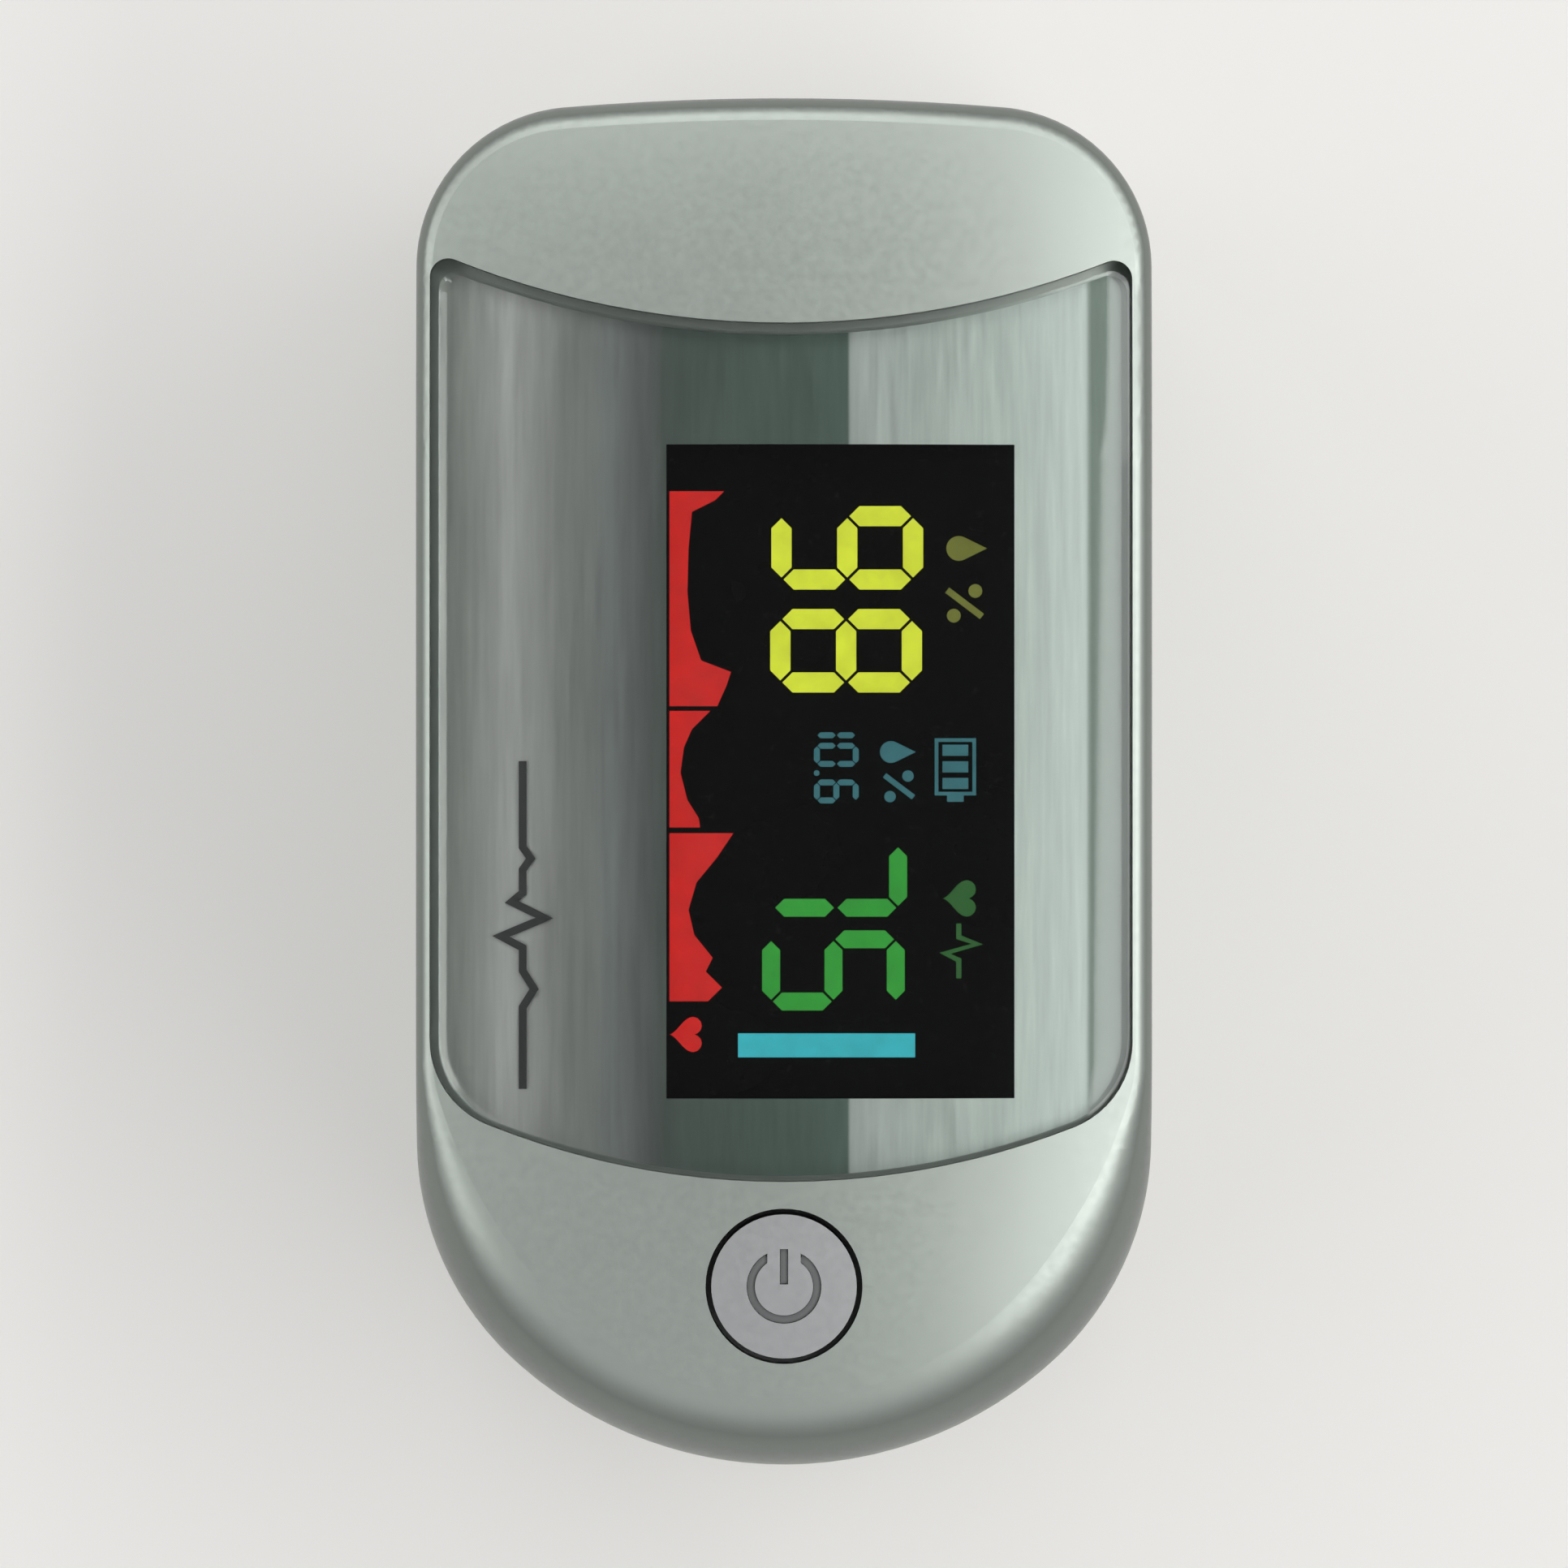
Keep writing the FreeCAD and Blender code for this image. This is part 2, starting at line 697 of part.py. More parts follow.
def bay(name, x, half_width):
    """A slot through a frame's plate at the hinge line, for the other jaw's ear or a spring."""
    return box(name, (f"{x} - {half_width}", f"{x} + {half_width}"),
               ("hinge_y - bay_half_length", "hinge_y + bay_half_length"),
               ("hinge_z - 3.6", "hinge_z + 3.6"))


def screw_spots(side):
    rear = "rear" if side == "upper" else "lower_rear"
    return [("front_screw_x", "front_screw_y"), (f"{rear}_screw_x", f"{rear}_screw_y")]


def screw_head_z(side, y):
    """The face of a frame's plate that a screw's head sits under, at a screw's Y."""
    behind = f"max(0; {slope_at(y)})"
    return f"hinge_z {SIGN[side]} (rim_gap + screw_slot / 2 + {behind})"


def screw(name, side, x, y):
    """A small screw with a slotted head, which points into its own jaw."""
    start = screw_head_z(side, y)
    if side == "upper":
        head_z, shank_z, slot_z = start, f"{start} + screw_head", start
    else:
        head_z, shank_z = f"{start} - screw_head", f"{start} - screw_head - screw_length"
        slot_z = f"{start} - screw_slot"
    head = cylinder(name + "_head", "screw_head_r", "screw_head", x, y, head_z)
    shank = cylinder(name + "_shank", "screw_r", "screw_length", x, y, shank_z)
    slot = box(name + "_slot", (f"{x} - screw_head_r - 1", f"{x} + screw_head_r + 1"),
               (f"{y} - screw_slot / 2", f"{y} + screw_slot / 2"), (slot_z, f"{slot_z} + screw_slot"))
    return cut(name, fuse(name + "_turned", head, shank), slot)


def screws(side):
    pairs = []
    for where, (x, y) in zip(("front", "rear"), screw_spots(side)):
        one = screw(f"{side}_{where}_screw", side, x, y)
        pairs += [one, mirrored(f"{side}_{where}_screw_other", one)]
    return node(group(f"{side}_screws", *pairs), f"{side}_screws")


def screw_seats(side):
    """The clearance that a frame's plate has for its screws: a shank hole and a seat for each head."""
    seats = []
    for where, (x, y) in zip(("front", "rear"), screw_spots(side)):
        start = screw_head_z(side, y)
        low = f"{start} - 2" if side == "upper" else f"{start} - screw_head"
        seats.append(cylinder(f"{side}_{where}_seat", "screw_head_r + fit_gap", "screw_head + 2", x, y, low))
        hole_z = start if side == "upper" else f"{start} - screw_length"
        seats.append(cylinder(f"{side}_{where}_hole", "screw_r + fit_gap", "screw_length", x, y, hole_z))
    return both_sides(f"{side}_seats", fuse(f"{side}_seats_half", *seats))


def bosses(side):
    """The posts in a jaw's shell that its screws bite into, bored out for them."""
    posts, bores = [], []
    for where, (x, y) in zip(("front", "rear"), screw_spots(side)):
        start = screw_head_z(side, y)
        above = f"rim_gap + frame_plate + fit_gap + 2.0 * wedge_slope + max(0; {slope_at(y)})"
        foot = f"hinge_z {SIGN[side]} ({above})"
        span = f"body_height - ({foot})" if side == "upper" else foot
        low = foot if side == "upper" else "0"
        posts.append(cylinder(f"{side}_{where}_boss", "boss_r", span, x, y, low))
        bore_z = start if side == "upper" else f"{start} - screw_head - screw_length - fit_gap"
        bores.append(cylinder(f"{side}_{where}_bore", "screw_r + screw_clearance",
                              "screw_head + screw_length + fit_gap", x, y, bore_z))
    return (both_sides(f"{side}_bosses", fuse(f"{side}_posts", *posts)),
            both_sides(f"{side}_bores", fuse(f"{side}_bores_half", *bores)))


def finger_frame(side, other_ear_x, own_ear_x, extra_cuts):
    """A jaw's inner frame: a plate along the parting, a trough round the finger pad and two hinge ears."""
    rise = RISE[side]
    plate = wedge(f"{side}_plate", side, "rim_gap", "frame_plate")
    outside = tunnel(f"{side}_trough", "channel_half_width + pad_thick + pad_gap + frame_thick",
                     f"{rise} + pad_thick + pad_gap + frame_thick", "-body_length / 2",
                     "pad_end_y + pad_thick + pad_gap + frame_thick")
    trough = common(f"{side}_trough_half", outside, half_space(f"{side}_trough_side", side))
    hollow = tunnel(f"{side}_trough_hollow", "channel_half_width + pad_thick + pad_gap",
                    f"{rise} + pad_thick + pad_gap", f"-{REACH}", "pad_end_y + pad_thick + pad_gap")
    bounds = common(f"{side}_frame_bounds", fuse(f"{side}_frame_blank", plate, trough), frame_plan)
    ears = both_sides(f"{side}_ears", lug(f"{side}_ear", side, own_ear_x))
    slots = fuse(f"{side}_slots", bay(f"{side}_ear_bay", other_ear_x, "bay_half_width"),
                 bay(f"{side}_spring_bay", "spring_x", "spring_bay_half_width"))
    opened = cut(f"{side}_frame_open", bounds, hollow, both_sides(f"{side}_bays", slots),
                 screw_seats(side), *extra_cuts)
    pin_hole = cylinder(f"{side}_pin_hole", "pin_r + pin_clearance", f"body_width + {MARGIN}",
                        f"-body_width / 2 - {MARGIN / 2}", "hinge_y", "hinge_z", along="X")
    return node(cut(f"{side}_frame", fuse(f"{side}_frame_eared", opened, ears), pin_hole), f"{side}_frame")


def finger_pad(side):
    """A soft trough for the finger with a closed end, and a round hole for the light."""
    rise = RISE[side]
    outside = tunnel(f"{side}_pad_outside", "channel_half_width + pad_thick", f"{rise} + pad_thick",
                     "pad_front - body_length / 2", "pad_end_y + pad_thick")
    inside = tunnel(f"{side}_pad_inside", "channel_half_width", rise, f"-{REACH}", "pad_end_y")
    half = common(f"{side}_pad_half", outside, half_space(f"{side}_pad_side", side))
    light = cylinder(f"{side}_pad_hole", "optic_hole_r", "body_height / 2", "0", "optic_y",
                     {"upper": "hinge_z", "lower": "hinge_z - body_height / 2"}[side])
    return node(cut(f"{side}_pad", half, inside, light), f"{side}_pad")


def light_hole(side):
    """The narrower hole through a frame's trough, which leaves a seat for the lens."""
    return cylinder(f"{side}_frame_hole", "optic_frame_hole_r", "body_height / 2", "0", "optic_y",
                    {"upper": "hinge_z", "lower": "hinge_z - body_height / 2"}[side])


def lens(side, label):
    """A clear round window at the bottom of a pad's hole, with a softened rim."""
    foot = f"({RISE[side]} + optic_lens_sunk)"
    low = f"hinge_z + {foot}" if side == "upper" else f"hinge_z - {foot} - optic_lens_thick"
    disc = cylinder(label + "_disc", "optic_lens_r", "optic_lens_thick", "0", "optic_y", low)
    doc.recompute()
    return node(rounded(label, disc, [(index, 0.2, 0.2) for index in (1, 3)]), label)


def mouth_hole(side):
    return tunnel(f"{side}_mouth", "channel_half_width + pad_thick + fit_gap",
                  f"{RISE[side]} + pad_thick + fit_gap", f"-{REACH}", "-body_length / 2 + wall + 3")


def ribbon_hole(side):
    """The slot in a frame's plate that the ribbon cable passes through."""
    return box(f"{side}_ribbon_hole", ("-ribbon_width / 2 - 0.4", "ribbon_width / 2 + 0.4"),
               ("ribbon_y - ribbon_slot / 2", "ribbon_y + ribbon_slot / 2"), ("hinge_z - 8", "hinge_z + 8"))


# ---- upper jaw -----------------------------------------------------------------------------------------


def display_box(name, half_width, half_length, z):
    return box(name, (f"display_x - ({half_width})", f"display_x + ({half_width})"),
               (f"display_y - ({half_length})", f"display_y + ({half_length})"), z)


def window_prism(name, **edges):
    """The window's outline as a tall prism, with its upright corners rounded."""
    tall = prism(name + "_tall", window_outline, f"body_height + {MARGIN}", **edges)
    doc.recompute()
    upright = edges_where(tall.Shape, lambda e: e.BoundBox.ZLength > val("body_height"))
    sizes = []
    for index in upright:
        front = tall.Shape.Edges[index - 1].CenterOfMass.y < 0
        radius = val("window_mouth_corner_r") if front else val("window_nose_corner_r")
        sizes.append((index, radius, radius))
    return rounded(name, tall, sizes)


def window_recess():
    room = window_prism("recess", mouth="groove_wide", nose="groove_narrow", text_side="groove_wide",
                        screen_side="groove_narrow")
    return cut("window_recess", room, recess_bottom)


def top_cover():
    """The upper shell: a crowned roof over the display, the button's hole and the screw posts inside."""
    shell = common("top_shell", outer, wedge("upper_side", "upper", "rim_gap"))
    hollow = common("top_hollow", inner, cavity_top)
    skylight = display_box("skylight", "display_width / 2 + 0.3", "display_length / 2 + 0.3",
                           ("hinge_z", f"body_height + {MARGIN}"))
    posts, bores = bosses("upper")
    hole = cylinder("button_hole", "button_hole_r", "body_height", "0", "button_y", "hinge_z")
    pocket = cylinder("button_pocket", "button_pocket_r", "button_pocket_z - hinge_z", "0", "button_y",
                      "hinge_z")
    hollowed = cut("top_hollowed", shell, hollow)
    posted = fuse("top_posted", hollowed, common("top_posts", posts, outer))
    return node(cut("top_cover", posted, window_recess(), skylight, bores, hole, pocket,
                    mouth_hole("upper")), "top_cover")


def display_window():
    """The clear window, a curved sheet that follows the roof and lies just under it."""
    sheet_form = common("window_sheet", window_prism("window"), window_top)
    return node(cut("display_window", sheet_form, window_bottom), "display_window")


def window_mask():
    """The tinted film on the window's underside, open over the display."""
    film = common("mask_sheet", window_prism("mask", mouth="-fit_gap", nose="-fit_gap", text_side="-fit_gap",
                                             screen_side="-fit_gap"), mask_top)
    opening = display_box("mask_opening", "screen_width / 2", "screen_length / 2",
                          ("hinge_z", f"body_height + {MARGIN}"))
    return node(cut("window_mask", film, mask_bottom, opening), "window_mask")


def display_module():
    panel = display_box("display_glass", "display_width / 2", "display_length / 2",
                        ("display_z", "display_z + display_thick"))
    doc.recompute()
    upright = edges_where(panel.Shape, lambda e: e.BoundBox.ZLength > 1)
    node(rounded("display_panel", panel, [(index, 0.6, 0.6) for index in upright]), "display_panel")
    outside = display_box("carrier_outside", "display_width / 2 + carrier_wall + pad_gap",
                          "display_length / 2 + carrier_wall + pad_gap",
                          ("board_z + board_thick", "board_z + board_thick + carrier_height"))
    seat = display_box("carrier_seat", "display_width / 2 + pad_gap", "display_length / 2 + pad_gap",
                       ("display_z", "body_height"))
    light = display_box("carrier_light", "display_width / 2 - 1.5", "display_length / 2 - 1.5",
                        ("hinge_z", "body_height"))
    node(cut("display_carrier", outside, seat, light), "display_carrier")


def main_board():
    """The circuit board across the upper jaw, notched clear of the screw posts."""
    right = [("board_front_half_width", "board_front_y"), ("board_front_half_width", "board_step_y"),
             ("board_half_width", "board_step_y"), ("board_half_width", "board_taper_y"),
             ("board_rear_half_width", "board_rear_y")]
    left = [(f"-{x}", y) for x, y in reversed(right)]
    body = new_body("board_blank")
    pad(body, polygon(body, "board_outline", "XY_Plane", right + left, lift="board_z"), "board_thick")
    posts = both_sides("board_post_holes", cylinder("board_post_hole", "boss_r + 0.2", "body_height",
                                                    "rear_screw_x", "rear_screw_y", "0"))
    slot = box("board_ribbon_slot", ("-ribbon_width / 2 - 0.3", "ribbon_width / 2 + 0.3"),
               ("ribbon_y + 1.2", "ribbon_y + 2.4"), ("0", "body_height"))
    return node(cut("main_board", body, posts, slot), "main_board")


def controller_chip():
    """The controller on the board beside the display, with a row of pins down each side."""
    top = "board_z + board_thick"
    package = box("chip_package", ("chip_x - chip_side / 2", "chip_x + chip_side / 2"),
                  ("chip_y - chip_side / 2", "chip_y + chip_side / 2"),
                  (f"{top} + 0.1", f"{top} + chip_thick"))
    pins = []
    reach = "(chip_side / 2 + chip_pin_reach)"
    for index in range(CHIP_PINS):
        y = f"chip_y + ({index - (CHIP_PINS - 1) / 2}) * chip_pin_pitch"
        pins.append(box(f"chip_pin_{index}", (f"chip_x - {reach}", f"chip_x + {reach}"),
                        (f"{y} - chip_pin_width / 2", f"{y} + chip_pin_width / 2"), (top, f"{top} + 0.25")))
    return node(fuse("controller_chip", package, *pins), "controller_chip")


def board_passives():
    """A row of small two-ended parts on the board, all alike."""
    parts = []
    for index in range(PASSIVES):
        y = f"passive_y + {index} * passive_pitch"
        parts.append(box(f"passive_{index}",
                         ("passive_x - passive_length / 2", "passive_x + passive_length / 2"),
                         (f"{y} - passive_width / 2", f"{y} + passive_width / 2"),
                         ("board_z + board_thick", "board_z + board_thick + passive_thick")))
    return node(group("board_passives", *parts), "board_passives")


def tact_switch():
    top = "board_z + board_thick"
    case = box("switch_case", ("-switch_side / 2", "switch_side / 2"),
               ("button_y - switch_side / 2", "button_y + switch_side / 2"), (top, f"{top} + switch_thick"))
    well = cylinder("switch_well", "switch_hole_r", "switch_thick", "0", "button_y", f"{top} + 0.1")
    tabs = box("switch_tabs", ("-switch_side / 2 - 0.7", "switch_side / 2 + 0.7"),
               ("button_y - 0.5", "button_y + 0.5"), (top, f"{top} + 0.2"))
    return node(cut("tact_switch", fuse("switch_solid", case, tabs), well), "tact_switch")


def emitter():
    """The light source under the board, over the upper pad's hole."""
    half = "optic_chip_side / 2"
    return node(box("emitter", (f"-{half}", half), (f"optic_y - {half}", f"optic_y + {half}"),
                    ("board_z - optic_chip_thick", "board_z")), "emitter")


# ---- power button --------------------------------------------------------------------------------------


def power_icon():
    """The power mark as a tall tool: a ring broken towards the mouth and a bar through the break."""
    line_half = "button_icon_line / 2"
    outside = cylinder("icon_outside", f"button_icon_r + {line_half}", "body_height", "0", "button_y", "0")
    inside = cylinder("icon_inside", f"button_icon_r - {line_half}", "body_height", "0", "button_y", "0")
    gap = box("icon_gap", ("-button_icon_r / 2", "button_icon_r / 2"),
              ("button_y - 2 * button_icon_r", "button_y"), ("0", "body_height"))
    bar = box("icon_bar", (f"-{line_half}", line_half),
              ("button_y - button_icon_r - 0.2", "button_y - 0.1"), ("0", "body_height"))
    return fuse("power_icon", cut("icon_ring", outside, inside, gap), bar)


def button_cap():
    """The button: a cap whose face follows the roof, a flange that keeps it in and a stem underneath."""
    disc = cylinder("cap_disc", "button_r", "body_height - button_flange_z", "0", "button_y",
                    "button_flange_z")
    flange = cylinder("cap_flange", "button_flange_r", "button_flange_thick", "0", "button_y",
                      "button_flange_z")
    bore = cylinder("cap_bore", "button_bore_r", "button_roof_z - button_flange_z + 1", "0", "button_y",
                    "button_flange_z - 1")
    stem = cylinder("cap_stem", "button_stem_r", "button_roof_z - plunger_z - plunger_height + 0.2", "0",
                    "button_y", "plunger_z + plunger_height")
    faced = common("cap_faced", disc, button_top)
    blank = fuse("cap_blank", cut("cap_hollow", fuse("cap_flanged", faced, flange), bore), stem)
    return node(cut("button_cap", blank, cut("icon_tool", power_icon(), window_top)), "button_cap")


def switch_plunger():
    post = cylinder("plunger_post", "plunger_r", "plunger_height", "0", "button_y", "plunger_z")
    doc.recompute()
    return node(rounded("switch_plunger", post, [(3, 0.2, 0.2)]), "switch_plunger")


# ---- lower jaw -----------------------------------------------------------------------------------------


def door_slot():
    """The run that the battery door slides in, with a groove down each side for its tongues."""
    way = ("door_front_y - fit_gap", REACH)
    middle = box("door_run", ("-door_half_width - fit_gap", "door_half_width + fit_gap"), way,
                 (f"-{MARGIN}", "door_thick + fit_gap"))
    reach = "door_half_width + door_tongue + fit_gap"
    grooves = box("door_grooves", (f"-({reach})", reach), way,
                  ("door_tongue_z - fit_gap", "door_thick + fit_gap"))
    return fuse("door_slot", middle, grooves)


def bottom_shell():
    """The lower shell: the battery room, the door's run, contact walls, screw posts and lanyard holes."""
    shell = common("bottom_solid", outer, wedge("lower_side", "lower", "rim_gap"))
    room = box("bottom_room", ACROSS, (f"-{REACH}", REACH), ("floor_thick", "body_height"))
    hollow = common("bottom_hollow", inner, room)
    cells = box("cell_opening", ("-cell_opening_half_width", "cell_opening_half_width"),
                ("door_front_y + door_lip", "contact_rear_y - fit_gap"), ("0", "floor_thick + 1"))
    wide = ("-contact_wall_half_width", "contact_wall_half_width")
    high = ("floor_thick - 0.5", "contact_wall_top")
    front = box("front_contact_wall", wide, ("-body_length / 2", "contact_front_y - fit_gap"), high)
    rear = box("rear_contact_wall", wide,
               ("contact_rear_y + contact_thick + fit_gap",
                "contact_rear_y + contact_thick + fit_gap + contact_wall_thick"), high)
    posts, bores = bosses("lower")
    fitted = fuse("bottom_fitted", cut("bottom_hollowed", shell, hollow),
                  common("bottom_inside", outer, fuse("bottom_walls", front, rear, posts)))
    lanyard = both_sides("lanyard_holes", cylinder("lanyard_hole", "lanyard_r", "body_length", "lanyard_x",
                                                   "contact_rear_y + 3", "lanyard_z", along="Y"))
    return node(cut("bottom_shell", fitted, door_slot(), cells, bores, mouth_hole("lower"), lanyard),
                "bottom_shell")


def cell(label, x, positive_front):
    """A cylindrical cell lying along Y, with its positive nub towards the mouth or the nose."""
    can = cylinder(label + "_can", "cell_r", "cell_length", x, "cell_front_y", "cell_z", along="Y")
    doc.recompute()
    round_ends = edges_where(can.Shape, lambda e: e.BoundBox.YLength < 0.01)
    edge_r = val("cell_edge_r")
    eased = rounded(label + "_eased", can, [(index, edge_r, edge_r) for index in round_ends])
    nub_y = "cell_front_y - cell_nub" if positive_front else "cell_front_y + cell_length - 0.5"
    nub = cylinder(label + "_nub", "cell_nub_r", "cell_nub + 0.5", x, nub_y, "cell_z", along="Y")
    return node(fuse(label, eased, nub), label)


def contact_plate(name, x_low, x_high, y):
    half = "contact_side / 2"
    return box(name, (f"({x_low}) - {half}", f"({x_high}) + {half}"), (y, f"({y}) + contact_thick"),
               (f"cell_z - {half}", f"cell_z + {half}"))


def contact_bump(name, x, y):
    """A raised disc on a contact, which meets a cell's nub."""
    return cylinder(name, "contact_bump_r", "contact_bump", x, y, "cell_z", along="Y")


def contacts():
    bridge = contact_plate("bridge_plate", "-cell_x", "cell_x", "contact_front_y")
    front_bump = contact_bump("bridge_bump", "cell_x", "contact_front_y + contact_thick")
    node(fuse("contact_bridge", bridge, front_bump), "contact_bridge")
    plate = contact_plate("positive_plate", "-cell_x", "-cell_x", "contact_rear_y")
    rear_bump = contact_bump("positive_bump", "-cell_x", "contact_rear_y - contact_bump")
    node(fuse("contact_positive", plate, rear_bump), "contact_positive")
    node(contact_plate("contact_negative", "cell_x", "cell_x", "contact_rear_y"), "contact_negative")


def coil(name, radius, wire_r, pitch, turns):
    """A helical wire round Z, from angle 0, as a swept solid."""
    helix = doc.addObject("Part::Helix", name + "_helix")
    bind(helix, "Radius", radius)
    bind(helix, "Pitch", pitch)
    bind(helix, "Height", f"({pitch}) * {turns}")
    ring = doc.addObject("Part::Circle", name + "_ring")
    bind(ring, "Radius", wire_r)
    ring.Placement = FreeCAD.Placement(vec(), FreeCAD.Rotation(vec(1, 0, 0), 90))
    bind(ring, ".Placement.Base.x", radius)
    sweep = doc.addObject("Part::Sweep", name)
    sweep.Sections = [ring]
    sweep.Spine = (helix, [])
    sweep.Solid = True
    sweep.Frenet = True
    return sweep


def turned(name, thing, axis, degrees):
    """A thing turned about an axis through the origin, as its own object."""
    made = doc.addObject("Part::Compound", name)
    made.Links = [thing]
    made.Placement = FreeCAD.Placement(vec(), FreeCAD.Rotation(axis, degrees))
    return made


def contact_springs():
    """The two coil springs at the cells' flat ends: one on the bridge and one on the negative contact."""
    springs = []
    for name, x, y in (("front_spring", "-cell_x", "contact_front_y + contact_thick + contact_spring_start"),
                       ("rear_spring", "cell_x", "cell_front_y + cell_length + contact_spring_start")):
        wire = coil(name + "_wire", "contact_spring_r", "contact_spring_wire_r", "contact_spring_pitch",
                    "contact_spring_turns")
        springs.append(place(turned(name, wire, vec(1, 0, 0), -90), x, y, "cell_z"))
    return node(group("contact_springs", *springs), "contact_springs")


def torsion_spring():
    """The jaw spring on the pin: a coil with a straight leg under each frame's plate."""
    wire = coil("jaw_spring_wire", "spring_coil_r", "spring_wire_r", "spring_pitch", "spring_turns")
    legs = []
    last = ("last", "360 * spring_turns", "spring_pitch * spring_turns")
    for name, degrees, z in (("first", "0", "0"), last):
        leg = doc.addObject("Part::Cylinder", f"jaw_spring_{name}_leg")
        bind(leg, "Radius", "spring_wire_r")
        bind(leg, "Height", "spring_leg")
        angle = math.radians(number(degrees))
        way = vec(math.cos(angle), math.sin(angle), 0)
        leg.Placement = FreeCAD.Placement(vec(), FreeCAD.Rotation(vec(0, 0, 1), way))
        legs.append(place(leg, f"spring_coil_r * cos({degrees})", f"spring_coil_r * sin({degrees})", z))
    bent = fuse("jaw_spring_bent", wire, *legs)
    made = doc.addObject("Part::Compound", "torsion_spring_left")
    made.Links = [bent]
    along_the_pin = FreeCAD.Rotation(vec(1, 1, 1), 120)
    raised = FreeCAD.Rotation(vec(1, 0, 0), val("spring_leg_deg"))
    made.Placement = FreeCAD.Placement(vec(), raised * along_the_pin)
    place(made, "spring_x - spring_pitch * spring_turns / 2", "hinge_y", "hinge_z")
    node(made, "torsion_spring_left")
    return node(mirrored("torsion_spring_right", made), "torsion_spring_right")


def hinge_pin():
    rod = cylinder("pin_rod", "pin_r", "pin_length", "-pin_length / 2", "hinge_y", "hinge_z", along="X")
    doc.recompute()
    made = doc.addObject("Part::Chamfer", "hinge_pin")
    made.Base = rod
    rims = edges_where(rod.Shape, lambda e: e.BoundBox.XLength < 0.01)
    made.Edges = [(index, val("pin_chamfer"), val("pin_chamfer")) for index in rims]
    return node(made, "hinge_pin")


def detector():
    half = "optic_chip_side / 2"
    top = "detector_board_z + detector_board_thick"
    node(box("detector", (f"-{half}", half), (f"optic_y - {half}", f"optic_y + {half}"),
             (top, f"{top} + optic_chip_thick")), "detector")
    node(box("detector_board", ("-detector_board_width / 2", "detector_board_width / 2"),
             ("optic_y - detector_board_length / 2", "optic_y + detector_board_length / 2"),
             ("detector_board_z", top)), "detector_board")


def ribbon_cable():
    """The flat cable between the jaws, which leaves the lower frame and hooks over the board."""
    y = "ribbon_y"
    thick = "ribbon_thick"
    low, high = "hinge_z - 5", "board_z + board_thick + 0.1"
    points = [(y, low), (f"{y} + {thick}", low), (f"{y} + {thick}", "board_z - 1"),
              (f"{y} + 2", "board_z - 0.4"), (f"{y} + 2", high), (f"{y} + 2 - {thick}", high),
              (f"{y} + 2 - {thick}", "board_z - 0.2"), (y, "board_z - 0.8")]
    body = new_body("ribbon_cable")
    pad(body, polygon(body, "ribbon_side", "YZ_Plane", points), "ribbon_width", midplane=True)
    return node(body, "ribbon_cable")


# ---- battery door --------------------------------------------------------------------------------------


def battery_door():
    """The sliding door under the cells, with finger grooves and a tongue down each side."""
    slab = box("door_slab", ("-door_half_width", "door_half_width"), ("door_front_y", REACH),
               ("0", "door_thick"))
    reach = "door_half_width + door_tongue"
    tongue = box("door_tongues", (f"-({reach})", reach), ("door_front_y", "door_tongue_end_y"),
                 ("door_tongue_z", "door_thick"))
    grips = []
    for index in range(DOOR_GRIPS):
        y = f"door_grip_y + {index} * door_grip_pitch"
        grips.append(box(f"door_grip_{index}", ("-door_grip_length / 2", "door_grip_length / 2"),
                         (y, f"{y} + door_grip_width"), ("-1", "door_grip_deep")))
    form = common("door_form", fuse("door_tongued", slab, tongue), outer)
    return node(cut("battery_door", form, *grips), "battery_door")


# ---- build ---------------------------------------------------------------------------------------------

top_cover()
display_window()
window_mask()
display_module()
main_board()
controller_chip()
board_passives()
tact_switch()
emitter()
lens("upper", "emitter_lens")
finger_frame("upper", "lower_lug_x", "upper_lug_x", [light_hole("upper"), ribbon_hole("upper")])
finger_pad("upper")
screws("upper")
button_cap()
switch_plunger()
bottom_shell()
finger_frame("lower", "upper_lug_x", "lower_lug_x", [light_hole("lower"), ribbon_hole("lower")])
finger_pad("lower")
screws("lower")
lens("lower", "detector_lens")
detector()
cell("battery_left", "cell_x", True)
cell("battery_right", "-cell_x", False)
contacts()
contact_springs()
hinge_pin()
torsion_spring()
ribbon_cable()
battery_door()
doc.recompute()

troubled = [thing.Name for thing in doc.Objects if {"Invalid", "Error"} & set(thing.State)]
if troubled:
    raise RuntimeError(f"objects in error: {troubled}")
os.makedirs("parts", exist_ok=True)
for thing in nodes:
    shape = thing.Shape
    if shape.isNull() or not shape.isValid():
        raise RuntimeError(f"{thing.Label} has a bad shape")
    shape.exportStep(os.path.join("parts", thing.Label + ".step"))
    print(f"{thing.Label}: {len(shape.Solids)} solids, {shape.Volume:.1f} mm3")
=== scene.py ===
import math

import bmesh
import bpy
from mathutils import Matrix, Vector


